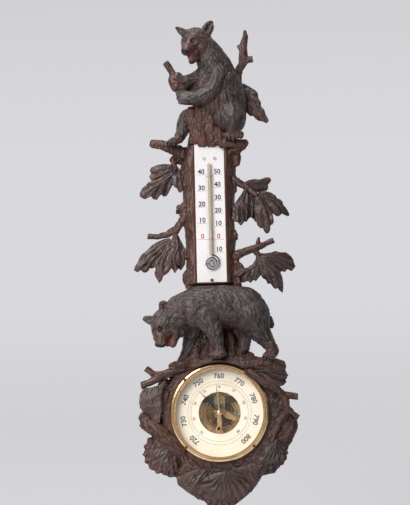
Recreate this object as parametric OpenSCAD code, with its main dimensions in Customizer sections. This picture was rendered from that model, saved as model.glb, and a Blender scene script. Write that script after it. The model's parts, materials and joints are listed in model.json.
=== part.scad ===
// Carved wooden wall barometer and thermometer with two bears.
// The carving is drawn as it is seen from the front: x to the right, y up, z out from the wall,
// with the dial axis at x = 0, y = 0. on_wall() then stands it up, with +Z up, the front facing -Y
// and the origin at the hanger's eye, in the wall plane.

/* [Dial] */
// Outside diameter of the brass bezel
bezel_d = 130; // [124:1:134]
// Radial width of the bezel, from its outside to the visible opening
bezel_w = 7.5; // [6.5:0.5:9]
// Height of the bezel above the wood
bezel_h = 8.2; // [7.6:0.2:9]
// Diameter of the hole in the ring dial
dial_hole_d = 55; // [50:1:57]
// Thickness of the dial
dial_t = 1; // [0.8:0.1:1.4]
// Thickness of the glass
glass_t = 2; // [1.6:0.1:2.2]
// Room between the capsule and the dial, for the chain, the cocks and the hairspring
movement_room = 15; // [14.6:0.1:15.6]
// Wall of the brass case
case_wall = 1; // [0.8:0.1:1.2]

/* [Movement] */
// Diameter of the corrugated capsule
capsule_d = 43; // [38:1:44]
// Thickness of the capsule
capsule_t = 6; // [5:0.5:6.5]
// Thickness of the base plate
base_t = 2; // [1.5:0.5:2.5]
// Length of the indicating hand, from the axis to its tip
hand_len = 41.8; // [36:0.2:46]
// Length of the set hand, from the axis to its tip
set_len = 41.7; // [36:0.1:46]
// Angle of the indicating hand at rest, anticlockwise from the top
hand_at = 42; // [0:1:90]
// Angle of the set hand at rest, anticlockwise from the top
set_at = 5.5; // [0:0.5:20]
// Radius at which the chain pulls on the hand arbor
pull_r = 1.2; // [1.2:0.1:1.3]
// Length of the rocking shaft's tall arm
tall_arm = 9; // [8.8:0.1:9.2]
// Length of the rocking shaft's crank
crank = 4; // [3.8:0.1:4.2]

/* [Thermometer] */
// Width of the scale plate
plate_w = 39; // [34:1:40]
// Height of the scale plate
plate_h = 184; // [178:1:185]
// Thickness of the scale plate
plate_t = 3; // [2:0.5:3.5]
// Outside diameter of the glass stem
stem_d = 5; // [4:0.2:5.4]
// Outside radius of the spiral bulb
bulb_r = 10; // [9:0.5:11]

/* [Carving] */
// Thickness of the back board
board_t = 16; // [14:1:17]
// Depth of the wood from the wall to the face that the bezel sits on
seat_z = 36; // [35.5:0.5:38]
// Width of the turned seat ring around the case
seat_w = 15; // [14:1:17]
// Depth of the trunk from the wall
trunk_d = 42; // [41:1:46]
// Height of the hanger's eye above the top of the trunk
hang_up = 19; // [17:0.5:21]
// Diameter of the wooden dowels
dowel_d = 8; // [6:0.5:9]
// Diameter of the wooden pegs that carry the sprays
peg_d = 5; // [4:0.5:6]
// Thickness of a carved leaf at its edge
leaf_t = 2.6; // [2:0.2:3.4]

/* [Hidden] */

// Clearances
seat_gap = 0.3;      // beside a piece that is laid into wood or brass
carve_gap = 0.12;    // between two carvings that are glued together
press_gap = 0.05;    // around dowels, pegs and pins
run_gap = 0.06;      // radial, around a turning shaft

// Facets of the balls that the carvings are built from
$balls = 8;
carve_fn = 48;
round_fn = 64;

// Levels of the case, from the wall outwards
bezel_r = bezel_d / 2;
open_r = bezel_r - bezel_w;
case_r = bezel_r - 5;
flange_r = bezel_r - 0.9;
flange_t = 0.8;
dial_z = seat_z - 5;
foot_h = 2;
case_back = dial_z - movement_room - capsule_t - foot_h - base_t - case_wall;
base_z = case_back + case_wall;
base_top = base_z + base_t;
base_r = case_r - case_wall - 13;
bezel_top = seat_z + bezel_h;
glass_z = bezel_top - 3.6 - glass_t;
glass_r = case_r - 0.8;
ring_t = 1;
dial_r = case_r - case_wall - 0.5;
bore_r = case_r + seat_gap;

// Levels of the movement
capsule_r = capsule_d / 2;
capsule_z = base_top + foot_h;
capsule_top = capsule_z + capsule_t;
post_r = 3;
neck_r = 1.5;
spring_t = 1.2;
spring_w = 14;
spring_low = capsule_top + 2.8;
post_top = spring_low + spring_t + 2;
bridge_x = 30;
bridge_y0 = 14;
bridge_y1 = 22;
bridge_z = capsule_top + 2;
bridge_t = 3;
screw_r = 1.5;
lever_z = spring_low + spring_t + seat_gap;
lever_t = 1.2;
link_r = 0.6;
eye_r = link_r + 0.7;
rock_x = 26;
rock_z = capsule_top + 1.5;
rock_r = 1;
rock_y0 = -17.5;
rock_y1 = 10.5;
crank_y = -9;
pivot_r = 0.7;
pivot_len = 2;
chain_z = rock_z + tall_arm;
arbor_r = 0.9;
cock_low_z = capsule_top + 6.5;
cock_t = 1.2;
cock_up_z = dial_z - 2;
cock_y = -20.4;
cock_x = -1.5;
leg_y = -(capsule_r + 4);
hand_z = dial_z + dial_t + 1.4;
hand_t = 0.6;
set_t = 0.5;
set_z = glass_z - 2.2;
knob_r = 4.5;
pillar_r = 2.5;
pillar_at = [90, 190, 350];
pillar_ring = base_r - 3.5;

// Screws around the bezel and through the back board
bezel_screw_ring = bezel_r - 2.6;
bezel_screws_at = [45, 135, 225, 315];
bezel_screw_r = 1.2;
bezel_screw_in = 12;
board_screw_ring = bore_r + seat_w * 0.6;
board_screw_r = 2;
screws_at = [0, 90, 180, 270];

// Trunk and thermometer
trunk_x = -5.7;
trunk_y0 = 170;
plate_sill = 1.8;
plate_y0 = trunk_y0 + plate_sill;
trunk_h = plate_h + plate_sill + 0.2;
trunk_y1 = trunk_y0 + trunk_h;
hang_h = trunk_y1 + hang_up;
bed_z = 33;
border_w = 4.2;
border_z = 37.4;
plate_front = bed_z + plate_t;
stem_r = stem_d / 2;
stem_z = plate_front + stem_r + 0.3;
stem_y0 = plate_y0 + 36.5;
stem_y1 = plate_y0 + plate_h - 26.5;
bulb_y = plate_y0 + 25;
wire_r = 0.45;
thread_r = 0.8;
staples_y = [plate_y0 + 58, plate_y0 + plate_h - 44];
pins_y = [plate_y0 + 2.6, plate_y0 + plate_h - 2.8];

// Neck of the back board, behind the walking bear
neck_x0 = -36;
neck_x1 = 30;
board_r = bore_r + seat_w + 5;

hang_x = trunk_x;
hanger_eye_r = 3.5;
hanger_t = 1.5;
hanger_w = 22;
hanger_h = 40;
hanger_screw_dy = 14;
hanger_y = hang_h - 7;

module on_wall() translate([-hang_x, 0, -hang_h]) rotate([90, 0, 0]) children();

// The carving above the plate is drawn for a trunk that ends here, and stands on the real end
drawn_top = 356;
module on_top() translate([0, trunk_y1 - drawn_top, 0]) children();
// Tube wall between two radii
module ring(r_in, r_out, z0, h) translate([0, 0, z0]) difference() {
    cylinder(r = r_out, h = h, $fn = 180);
    translate([0, 0, -1]) cylinder(r = r_in, h = h + 2, $fn = 180);
}

module rod(r, z0, z1, fn = 48) translate([0, 0, z0]) cylinder(r = r, h = z1 - z0, $fn = fn);

// Carved mass: a chain of balls [x, y, z, r], each hulled to the next, grown by g
module ball(b, g = 0) translate([b[0], b[1], b[2]]) sphere(r = b[3] + g, $fn = $balls);
module limb(balls, g = 0) for (i = [0 : len(balls) - 2]) hull() {
    ball(balls[i], g);
    ball(balls[i + 1], g);
}
module lump(balls, g = 0) hull() for (b = balls) ball(b, g);

// Main locks of fur: tapered ridges that hang down over a ball of the body. Turn is to the right,
// tip is up, and sink is how deep the ridge lies in the ball.
function on_ball(b, turn, tip, sink) = [b[0] + (b[3] - sink) * sin(turn) * cos(tip),
                                        b[1] + (b[3] - sink) * sin(tip),
                                        b[2] + (b[3] - sink) * cos(turn) * cos(tip)];
lock_r = 3.6;
lock_drop = 30;
module fur_lock(b, turn, tip) hull() {
    translate(on_ball(b, turn, tip, lock_r * 0.45)) sphere(r = lock_r, $fn = 5);
    translate(on_ball(b, turn + 6, tip - lock_drop, lock_r * 0.2)) sphere(r = lock_r * 0.5, $fn = 4);
}

function unit(v) = v / norm(v);

// Radius of a hole with few facets that clears a round piece of radius r all round
function clear_r(r, fn) = r / cos(180 / fn);
hole_fn = 12;

// Half width of an oak leaf at u = 0 to 1 along it, with its lobes
function leaf_half(u, w, lobes) =
    w / 2 * (0.12 + 0.88 * pow(sin(180 * pow(u, 0.72)), 0.8)) * (1 + 0.17 * cos(360 * lobes * u));

// A cambered leaf blade from base to tip, its midrib raised, bent back towards the wall by droop
module leaf(base, tip, w, lobes = 4, camber = 3, droop = 6) {
    steps = 9;
    along = tip - base;
    side = unit(cross(along, [0, 0, 1]));
    up = unit(cross(side, along));
    across = [-1, 0, 1];
    cols = len(across);
    rows = steps + 1;
    top = [for (i = [0 : steps]) for (v = across)
        let (u = i / steps, hw = leaf_half(u, w, lobes))
        base + along * u + side * v * hw
            + up * (leaf_t / 2 + camber * (1 - v * v) * sin(180 * u) + droop * (u - u * u) * 2)];
    low = [for (i = [0 : steps]) for (v = across)
        let (u = i / steps, hw = leaf_half(u, w, lobes))
        base + along * u + side * v * hw
            + up * (-leaf_t / 2 + camber * (1 - v * v) * sin(180 * u) * 0.7
                + droop * (u - u * u) * 2)];
    n = rows * cols;
    sheet_top = [for (i = [0 : steps - 1]) for (j = [0 : cols - 2])
        each [[i * cols + j, (i + 1) * cols + j, (i + 1) * cols + j + 1],
              [i * cols + j, (i + 1) * cols + j + 1, i * cols + j + 1]]];
    sheet_low = [for (f = sheet_top) [f[0] + n, f[2] + n, f[1] + n]];
    edge = concat([for (i = [0 : rows - 1]) i * cols],
                  [for (j = [1 : cols - 1]) (rows - 1) * cols + j],
                  [for (i = [rows - 2 : -1 : 0]) i * cols + cols - 1],
                  [for (j = [cols - 2 : -1 : 1]) j]);
    m = len(edge);
    rim = [for (k = [0 : m - 1]) let (a = edge[k], b = edge[(k + 1) % m])
        each [[a, a + n, b + n], [a, b + n, b]]];
    polyhedron(concat(top, low), concat(sheet_top, sheet_low, rim));
}

// A fan-shaped leaf that lies on the carving, ribbed from its centre to its rim
module fan(centre, r, from, to, ribs, rise = 7, back = 8) {
    rings = 2;
    steps = ribs * 2;
    point = [for (i = [0 : steps]) for (k = [0 : rings])
        let (u = k / rings, a = from + (to - from) * i / steps,
             rib = (i % 2 == 0 ? 0 : 1),
             reach = r * (0.16 + 0.84 * u) * (1 + 0.1 * rib * u))
        centre + [reach * cos(a), reach * sin(a),
                  rise * (0.25 + sin(150 * u) * 0.75) + 2.2 * rib * u]];
    low = [for (p = point) [p[0], p[1], centre[2] - back]];
    cols = rings + 1;
    rows = steps + 1;
    n = rows * cols;
    sheet = [for (i = [0 : steps - 1]) for (k = [0 : rings - 1])
        each [[i * cols + k, (i + 1) * cols + k + 1, i * cols + k + 1],
              [i * cols + k, (i + 1) * cols + k, (i + 1) * cols + k + 1]]];
    sheet_low = [for (f = sheet) [f[0] + n, f[2] + n, f[1] + n]];
    edge = concat([for (i = [0 : rows - 1]) i * cols],
                  [for (k = [1 : cols - 1]) (rows - 1) * cols + k],
                  [for (i = [rows - 2 : -1 : 0]) i * cols + cols - 1],
                  [for (k = [cols - 2 : -1 : 1]) k]);
    m = len(edge);
    rim = [for (j = [0 : m - 1]) let (a = edge[j], b = edge[(j + 1) % m])
        each [[a, a + n, b + n], [a, b + n, b]]];
    polyhedron(concat(point, low), concat(sheet, sheet_low, rim));
}

// Left and right edges of the trunk and stump at height y
left_edge = [[168, -42], [190, -40.5], [233, -40], [248, -42], [262, -43.5], [290, -41], [312, -46],
             [330, -46], [345, -40], [356, -36], [372, -32], [395, -31], [412, -30]];
right_edge = [[168, 30], [185, 26], [217, 25], [232, 27.5], [251, 24.5], [288, 26.5], [320, 28],
              [336, 31], [356, 28], [372, 20], [395, 10], [412, 5]];

// A bark-covered column from y0 to y1, flat at the back, with the edges drawn from t0 to t1;
// g grows it
module column(y0, y1, t0, t1, depth, steps, g = 0) {
    around = 12;
    pts = [for (i = [0 : steps]) for (j = [0 : around])
        let (y = y0 + (y1 - y0) * i / steps, t = t0 + (t1 - t0) * i / steps,
             a = 180 - 180 * j / around,
             xl = lookup(t, left_edge) - g, xr = lookup(t, right_edge) + g,
             bark = 1 + 0.018 * sin(j * 143) + 0.014 * sin(i * 97 + j * 61),
             c = cos(a), s = sin(a))
        [(xl + xr) / 2 + (xr - xl) / 2 * sign(c) * pow(abs(c), 0.8) * (j == 0 || j == around ? 1 : bark),
         y,
         (j == 0 || j == around) ? 0 : (depth + g) * pow(s, 0.55) * bark]];
    cols = around + 1;
    faces = concat(
        [for (i = [0 : steps - 1]) for (j = [0 : cols - 1])
            let (a = i * cols + j, b = i * cols + (j + 1) % cols)
            each [[a, b + cols, b], [a, a + cols, b + cols]]],
        [[for (j = [0 : cols - 1]) j]],
        [[for (j = [cols - 1 : -1 : 0]) steps * cols + j]]);
    polyhedron(pts, faces);
}

// Spray of leaves: the branch, then each leaf as [base, tip, width, lobes]
module spray(branch, leaves) {
    $balls = 6;
    limb(branch);
    for (l = leaves) {
        leaf(l[0], l[1], l[2], l[3]);
        limb([[l[0][0], l[0][1], l[0][2], 2.2], concat(l[0] + (l[1] - l[0]) * 0.22, [1.6])]);
    }
}

// Pegs that join a spray to the trunk's side: [x, y, z, direction]
pegs = [[-40, trunk_y1 - 16, 20, 180], [-36, 268, 20, 180], [18, trunk_y1 - 47, 20, 0],
        [16, 211, 20, 0]];
peg_len = 16;
module peg_set() for (p = pegs) translate([p[0], p[1], p[2]])
    rotate([0, p[3] == 0 ? 90 : -90, 0]) cylinder(r = peg_d / 2, h = peg_len, $fn = 32);
module peg_holes() for (p = pegs) translate([p[0], p[1], p[2]])
    rotate([0, p[3] == 0 ? 90 : -90, 0]) translate([0, 0, -seat_gap])
        cylinder(r = clear_r(peg_d / 2 + press_gap, hole_fn), h = peg_len + 2 * seat_gap, $fn = hole_fn);

trunk_dowel_x = [trunk_x - 16, trunk_x + 16];
trunk_dowel_len = 36;
module trunk_dowel_set(g = 0, fn = 48) for (x = trunk_dowel_x)
    translate([x, trunk_y0 - trunk_dowel_len / 2 - g, board_t / 2]) rotate([-90, 0, 0])
        cylinder(r = fn == hole_fn ? clear_r(dowel_d / 2 + press_gap, fn) : dowel_d / 2,
                 h = trunk_dowel_len + 2 * g, $fn = fn);

// Dowels under the bears: two from the board into the walking bear, one from the stump upwards
bear_dowel_xy = [[-20, 140], [14, 138]];
bear_dowel_in = 8;
bear_dowel_len = 24;
module bear_dowel_set(g = 0, fn = 48) {
    r = fn == hole_fn ? clear_r(dowel_d / 2 + press_gap, fn) : dowel_d / 2;
    for (p = bear_dowel_xy) translate([p[0], p[1], board_t - bear_dowel_in - g])
        cylinder(r = r, h = bear_dowel_len + 2 * g, $fn = fn);
    on_top() translate([-8, stump_y1 - 14 - g, 17]) rotate([-90, 0, 0])
        cylinder(r = r, h = 26 + 2 * g, $fn = fn);
}

module board_screw_set() for (a = screws_at) rotate(a) translate([board_screw_ring, 0, 0]) {
    translate([0, 0, 0.4]) cylinder(r1 = 4, r2 = board_screw_r, h = 2, $fn = round_fn);
    rod(board_screw_r, 2.4, seat_z - 8);
}
module board_screw_holes() for (a = screws_at) rotate(a) translate([board_screw_ring, 0, 0])
    rod(clear_r(board_screw_r + press_gap, hole_fn), 0, seat_z - 8 + seat_gap, hole_fn);

module bezel_screw_set() for (a = bezel_screws_at) rotate(a) translate([bezel_screw_ring, 0, 0]) {
    rod(bezel_screw_r, seat_z - bezel_screw_in, bezel_top - 2.4);
    rod(2, bezel_top - 2.4, bezel_top - 1.1);
}
module bezel_screw_holes(g, fn) for (a = bezel_screws_at) rotate(a) translate([bezel_screw_ring, 0, 0])
    rod(clear_r(bezel_screw_r + g, fn), seat_z - bezel_screw_in - seat_gap, bezel_top + 1, fn);

module back_board() color("#3a241b") difference() {
    union() {
        rod(board_r, 0, board_t, 180);
        translate([neck_x0, 0, 0]) cube([neck_x1 - neck_x0, trunk_y0, board_t]);
    }
    rod(bore_r, -1, board_t + 1, 180);
    for (a = screws_at) rotate(a) translate([board_screw_ring, 0, 0]) {
        rod(board_screw_r + press_gap, -1, board_t + 1);
        translate([0, 0, -0.01])
            cylinder(r1 = 4.5, r2 = board_screw_r + press_gap, h = 2.5, $fn = round_fn);
    }
    for (x = trunk_dowel_x) translate([x, trunk_y0 - trunk_dowel_len / 2 - seat_gap, board_t / 2])
        rotate([-90, 0, 0]) cylinder(r = dowel_d / 2 + press_gap, h = trunk_dowel_len, $fn = 48);
    for (p = bear_dowel_xy) translate([p[0], p[1], board_t - bear_dowel_in - seat_gap])
        cylinder(r = dowel_d / 2 + press_gap, h = bear_dowel_len, $fn = 48);
}

// The trunk with the stubs and knots on its edges
module trunk_mass(g = 0) {
    $balls = 6;
    column(trunk_y0, trunk_y1, 170, drawn_top, trunk_d, 12, g);
    limb([[-41, 276, 24, 5], [-42, 270, 24, 5]], g);
    limb([[25, 237, 24, 5], [25, 231, 24, 5]], g);
    limb([[-38, 214, 30, 4], [-39, 206, 28, 4]], g);
    limb([[27, 262, 22, 3.6], [25, 256, 22, 4]], g);
    on_top() {
        limb([[31, 341, 26, 6], [30, 330, 24, 5]], g, $balls = 6);
        limb([[-43, 318, 26, 5], [-43, 308, 24, 5]], g, $balls = 6);
    }
    limb([[-40, 186, 20, 5], [-40, 176, 20, 6]], g);
    limb([[28, 184, 22, 4], [29, 175, 22, 5]], g);
    bear_branches(g);
}

// The two branches at the top of the trunk that the seated bear rests its feet on
module bear_branches(g = 0) on_top() {
    $balls = 6;
    limb([[-30, 340, 22, 9], [-46, 350, 25, 7.6], [-62, 357, 28, 6.6], [-80, 360, 29, 6.2]], g);
    limb([[18, 344, 26, 9], [34, 350, 34, 7.4], [42, 355, 39, 6.4]], g);
}

module trunk() color("#4a2c22") difference() {
    trunk_mass();
    // the planed border of the thermometer, its bed, and the shelf under it
    translate([trunk_x - plate_w / 2 - border_w, trunk_y0 - 10, border_z])
        cube([plate_w + 2 * border_w, trunk_h + 20, 40]);
    translate([trunk_x - plate_w / 2 - seat_gap, plate_y0 - seat_gap, bed_z])
        cube([plate_w + 2 * seat_gap, plate_h + 2 * seat_gap + 10, 40]);
    translate([-39, trunk_y1, -1]) cube([68, 60, 80]);
    translate([-100, trunk_y0 - 60, -1]) cube([200, 60, 80]);
    translate([-100, 100, -60]) cube([200, 500, 60]);
    peg_holes();
    trunk_dowel_set(seat_gap, hole_fn);
    for (y = pins_y) translate([trunk_x, y, bed_z - 9])
        cylinder(r = clear_r(1 + press_gap, hole_fn), h = 20, $fn = hole_fn);
    hanger_recess();
}

// Wood taken out behind the hanger plate: its bed, the room for a nail's head, two pilot holes
module hanger_recess() {
    translate([hang_x - hanger_w / 2 - seat_gap, hanger_y - hanger_h / 2 - seat_gap, -1])
        cube([hanger_w + 2 * seat_gap, hanger_h + 2 * seat_gap, 1 + hanger_t + 0.1]);
    translate([hang_x, hang_h, -1]) cylinder(r = 7, h = 11, $fn = hole_fn);
    for (y = hanger_screws_y) translate([hang_x, y, -1]) cylinder(r = 1.65, h = 14, $fn = hole_fn);
}
hanger_screws_y = [hanger_y - hanger_screw_dy, hanger_y - hanger_screw_dy + 11];

stump_y1 = 409;
module stump_mass(g = 0) on_top() {
    $balls = 6;
    column(drawn_top - g, stump_y1 + g, drawn_top - g, stump_y1 + g, 36, 8, g);
    limb([[-27, 360, 30, 7], [-22, 384, 32, 5], [-20, 404, 30, 4]], g);
    limb([[-12, 362, 34, 6], [-10, 388, 34, 5], [-12, 404, 32, 4]], g);
    limb([[4, 362, 33, 6], [-1, 386, 32, 5], [-3, 402, 30, 4]], g);
    limb([[16, 361, 28, 7], [8, 380, 28, 5]], g);
}

module stump() color("#5a3a2c") difference() {
    stump_mass();
    translate([-100, trunk_y1 - 60, -1]) cube([200, 60, 100]);
    translate([-100, trunk_y1 - 60, -60]) cube([200, 200, 60]);
    bear_branches(carve_gap);
    hanger_recess();
    bear_dowel_set(seat_gap, hole_fn);
}

seated_eyes = [[-29.5, 494, 49], [-17.5, 494.5, 54.2]];
seated_eye_r = 1.8;
seated_body = [[19, 392, 26, 26], [15, 415, 27, 26.5], [10, 438, 29, 25.5], [6, 458, 31, 22.5],
               [-2, 476, 34, 20], [-17, 493, 36, 19.5]];

module seated_bear() color("#3b3a3a") difference() {
    on_top() {
        // back and neck with their locks of fur, then the muzzle, the jaw and the ears
        limb(seated_body);
        for (i = [0 : 4], k = [0 : 2])
            fur_lock(seated_body[i], -16 + 34 * k + 16 * (i % 2), 22);
        limb([[-20, 489, 44, 12], [-26, 484, 52, 9], [-31, 480, 58, 6]]);
        limb([[-19, 480, 44, 9], [-23, 472, 50, 6], [-25, 468, 53, 4]]);
        limb([[-28, 503, 33, 8], [-39, 510, 31, 4.4]]);
        limb([[-5, 505, 33, 9], [1, 514, 31, 6]]);
        // far arm, near arm
        limb([[-6, 456, 30, 13], [-24, 450, 38, 8.5], [-38, 445, 44, 8], [-49, 444, 47, 8]]);
        limb([[10, 450, 42, 14], [-3, 433, 52, 11.5], [-20, 424, 55, 9.8], [-38, 420, 52, 8.6]]);
        // near haunch and foot, far leg and foot
        limb([[19, 405, 34, 21], [25, 391, 43, 18], [27, 377, 46, 12], [25, 368, 49, 7]]);
        lump([[16, 364, 50, 5], [34, 365, 48, 5], [26, 369, 42, 6]]);
        limb([[-14, 404, 18, 14], [-32, 397, 28, 12], [-36, 385, 32, 12], [-40, 374, 36, 9.5],
              [-44, 366, 40, 7]]);
        limb([[-44, 365, 41, 6.5], [-54, 358, 45, 5.4]]);
    }
    translate([-200, trunk_y1 - 60, -200]) cube([400, 400, 200]);
    stump_mass(carve_gap);
    bear_branches(carve_gap);
    bear_dowel_set(seat_gap, hole_fn);
    on_top() limb(stick_line, carve_gap);
    translate([-100, trunk_y1 - 60, -1]) cube([134, 60 + carve_gap, 100]);
    on_top() for (e = seated_eyes) translate(e) sphere(r = seated_eye_r * 1.14, $fn = 10);
}

stick_line = [[-41, 424, 47, 3.6], [-45, 434, 48, 4.2], [-52, 449, 50, 4.8], [-59, 464, 52, 5.2]];
module held_stick() color("#5a3a2c") on_top() limb(stick_line);

walking_eyes = [[-68, 114, 75.2], [-84, 113, 72]];
walking_eye_r = 1.7;
walking_body = [[46, 128, 41, 24.5], [35, 140, 38, 28], [6, 144, 38, 29.5], [-22, 144, 40, 28.5],
                [-46, 134, 45, 25], [-69, 120, 55, 20]];
far_front_leg = [[-34, 120, 32, 16], [-38, 100, 30, 12], [-43, 84, 31, 9.5], [-52, 71, 34, 7.5],
                 [-58, 65, 36, 5.6]];

module walking_bear() color("#3b3a3a") difference() {
    union() {
        // rump, back and neck with their locks of fur, then the muzzle, the open jaw, the ears and
        // the tail
        limb(walking_body);
        for (i = [0 : 4], k = [0 : 3])
            fur_lock(walking_body[i], 16 * (k % 2) - 6 * (i % 2), 76 - 30 * k);
        limb([[-72, 113, 61, 16], [-76, 103, 67, 12.5], [-77, 96, 71, 9]]);
        limb([[-64, 104, 60, 12], [-61, 96, 64, 8], [-62, 91, 66, 5]]);
        limb([[-82, 123, 52, 8], [-96, 128, 49, 3.8]]);
        limb([[-66, 136, 60, 8], [-71, 145, 59, 6.2]]);
        limb([[68, 124, 36, 6], [72, 114, 34, 4]]);
        // near and far front legs
        limb([[-16, 136, 48, 22], [-8, 117, 54, 16], [-1, 99, 56, 10], [1, 86, 57, 8.8]]);
        limb([[1, 84, 57, 8.4], [-8, 80, 62, 6]]);
        limb(far_front_leg);
        // near and far hind legs
        limb([[46, 128, 46, 24], [56, 111, 48, 16.5], [65, 94, 49, 10.5], [71, 83, 50, 9.5]]);
        limb([[71, 81, 51, 8.4], [62, 77, 56, 6]]);
        limb([[33, 116, 30, 17], [34, 101, 28, 12], [32, 88, 29, 9.6], [23, 80, 33, 6.6]]);
    }
    translate([-200, 0, -200]) cube([400, 300, 200 + board_t + carve_gap]);
    translate([-100, trunk_y0 - carve_gap, -1]) cube([200, 60, trunk_d + 40]);
    trunk_mass(carve_gap);
    surround_mass(carve_gap);
    bear_dowel_set(seat_gap, hole_fn);
    for (e = walking_eyes) translate(e) sphere(r = walking_eye_r * 1.14, $fn = 10);
}

// The carving around the dial, without its bores
module surround_mass(g = 0) {
    $balls = 6;
    rod(bore_r + seat_w + g, board_t - g, seat_z + g, carve_fn);
    // mound under the walking bear
    limb([[-60, 54, 28, 10], [-38, 64, 30, 10], [-6, 67, 44, 11], [26, 66, 42, 11], [60, 60, 44, 11],
          [76, 54, 40, 13]], g);
    limb([[-4, 64, 50, 9], [28, 62, 48, 9], [66, 64, 52, 6]], g);
    lump([[-34, 84, 22, 9], [24, 84, 22, 9], [28, 68, 34, 9], [-36, 68, 34, 9]], g);
    limb([[-32, 70, 34, 11], [-26, 92, 26, 10], [-20, 116, 20, 8]], g);
    limb([[-8, 70, 40, 11], [-4, 96, 28, 10], [0, 120, 20, 8]], g);
    limb([[18, 72, 36, 11], [16, 94, 26, 10], [14, 118, 18, 8]], g);
    // bark at the top right
    limb([[72, 58, 34, 12], [80, 47, 34, 12], [66, 44, 30, 12]], g);
    // rocks at the left
    lump([[-92, 24, 28, 13], [-94, 10, 26, 11], [-76, 8, 26, 12], [-72, 26, 28, 12]], g);
    limb([[-72, 40, 26, 9], [-70, 22, 28, 9]], g);
    // the cut log, from its end at the left down to the bottom
    limb([[-98, -5, 34, 9.5], [-78, -24, 36, 10], [-58, -44, 34, 10], [-44, -62, 30, 9]], g);
    // rocks below and at the right
    lump([[-84, -40, 26, 10], [-80, -62, 24, 12], [-62, -72, 26, 12], [-66, -44, 26, 12]], g);
    lump([[-46, -84, 26, 12], [-24, -100, 26, 14], [20, -100, 26, 14], [40, -84, 26, 13],
          [0, -78, 28, 12]], g);
    lump([[-40, -66, 28, 13], [-50, -78, 26, 12], [-20, -86, 28, 12]], g);
    lump([[34, -76, 28, 13], [54, -70, 26, 13], [50, -56, 28, 12]], g);
    lump([[58, -66, 26, 13], [76, -48, 28, 12], [88, -28, 26, 12], [70, -30, 28, 12]], g);
    lump([[90, -6, 26, 11], [90, -24, 26, 12], [74, -6, 28, 12], [78, 14, 28, 9]], g);
}

module dial_surround() color("#40271e") difference() {
    union() {
        surround_mass();
        fan([-72, -50, 34], 27, 130, 300, 8);
        fan([0, -88, 34], 33, 188, 352, 11, 9);
        fan([63, -52, 34], 23, 235, 365, 7);
    }
    translate([-200, -200, -200]) cube([400, 400, 200 + board_t]);
    rod(bore_r, 0, 80, carve_fn);
    rod(bezel_r + 0.8, seat_z, 90, carve_fn);
    board_screw_holes();
    bezel_screw_holes(press_gap, hole_fn);
    translate([neck_x0, 0, -1]) cube([neck_x1 - neck_x0, trunk_y0, 1 + board_t]);
}

module cut_by_trunk() difference() {
    children();
    trunk_mass(carve_gap);
    translate([-100, 100, -60]) cube([200, 500, 60]);
    peg_holes();
}

module upper_left_spray() color("#42281f") cut_by_trunk() on_top() spray(
    [[-40, 341, 21, 4.5], [-50, 336, 22, 4], [-54, 327, 23, 3.4], [-54, 322, 23, 3]],
    [[[-55, 327, 23], [-83, 318, 26], 21, 3], [[-55, 322, 23], [-96, 292, 20], 21, 4],
     [[-51, 327, 23], [-43, 293, 28], 15, 3]]);

module lower_left_spray() color("#42281f") cut_by_trunk() spray(
    [[-38, 276, 20, 5], [-44, 260, 20, 4.4], [-53, 243, 22, 4], [-66, 234, 24, 3.6], [-86, 235, 26, 3.4]],
    [[[-58, 237, 23], [-106, 193, 20], 24, 4], [[-54, 237, 25], [-75, 177, 27], 19, 4],
     [[-51, 238, 24], [-54, 187, 28], 16, 4], [[-47, 240, 23], [-43, 198, 24], 12, 3]]);

module upper_right_spray() color("#42281f") cut_by_trunk() on_top() spray(
    [[22, 312, 20, 5], [34, 303, 22, 4.4], [43, 296, 24, 4], [48, 290, 25, 3.4]],
    [[[42, 299, 24], [75, 309, 24], 19, 3], [[50, 291, 25], [99, 261, 20], 24, 4],
     [[47, 289, 25], [69, 238, 24], 20, 4], [[42, 293, 24], [34, 248, 27], 19, 3]]);

module lower_right_spray() color("#42281f") cut_by_trunk() {
    spray(
        [[18, 210, 20, 5], [34, 213, 22, 4.2], [50, 217, 24, 3.8], [78, 225, 26, 3.4]],
        [[[56, 208, 24], [104, 190, 20], 24, 4], [[57, 204, 25], [88, 159, 22], 21, 4],
         [[52, 199, 24], [25, 177, 27], 20, 3]]);
    $balls = 6;
    limb([[50, 217, 24, 3.4], [58, 231, 26, 2.8]]);
    limb([[46, 215, 23, 3], [56, 209, 23.4, 3.2], [58, 202, 23, 3.2], [51, 196, 22.6, 3.2],
          [38, 191, 23, 3.4], [28, 189, 22.6, 4], [18, 195, 21, 4]]);
}

module top_branch() color("#42281f") on_top() difference() {
    $balls = 6;
    union() {
        limb([[30, 428, 12, 4], [36, 440, 13, 4], [35, 450, 14, 3.6], [38, 460, 15, 3.4],
              [44, 470, 16, 3.6], [44, 482, 16, 3.2], [48, 493, 16, 3], [47, 503, 16, 2.8]]);
        limb([[44, 470, 16, 3.2], [54, 467, 18, 2.8]]);
        limb([[43, 482, 16, 3], [38, 483, 14, 2.4]]);
        leaf([34, 433, 13], [71, 386, 18], 22, 3);
    }
    translate([-200, 300, -200]) cube([400, 400, 200]);
    limb([[19, 392, 26, 26], [15, 415, 27, 26.5], [10, 438, 29, 25.5], [6, 458, 31, 22.5]],
         carve_gap, $balls = 8);
    limb([[19, 405, 34, 21], [25, 391, 43, 18]], carve_gap, $balls = 8);
}

module left_twig() color("#42281f") difference() {
    $balls = 6;
    union() {
        limb([[-56, 56, 38, 6], [-72, 50, 38, 5], [-90, 50, 38, 4], [-96, 58, 38, 3.6]]);
        limb([[-76, 50, 38, 4], [-90, 42, 36, 3.6], [-102, 38, 34, 3.6]]);
        limb([[-70, 50, 38, 4.6], [-78, 42, 40, 3.6]]);
        leaf([-77, 42, 41], [-82, -13, 42], 9, 3, 2, 3);
    }
    surround_mass(carve_gap);
    limb(far_front_leg, carve_gap, $balls = 8);
}

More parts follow.
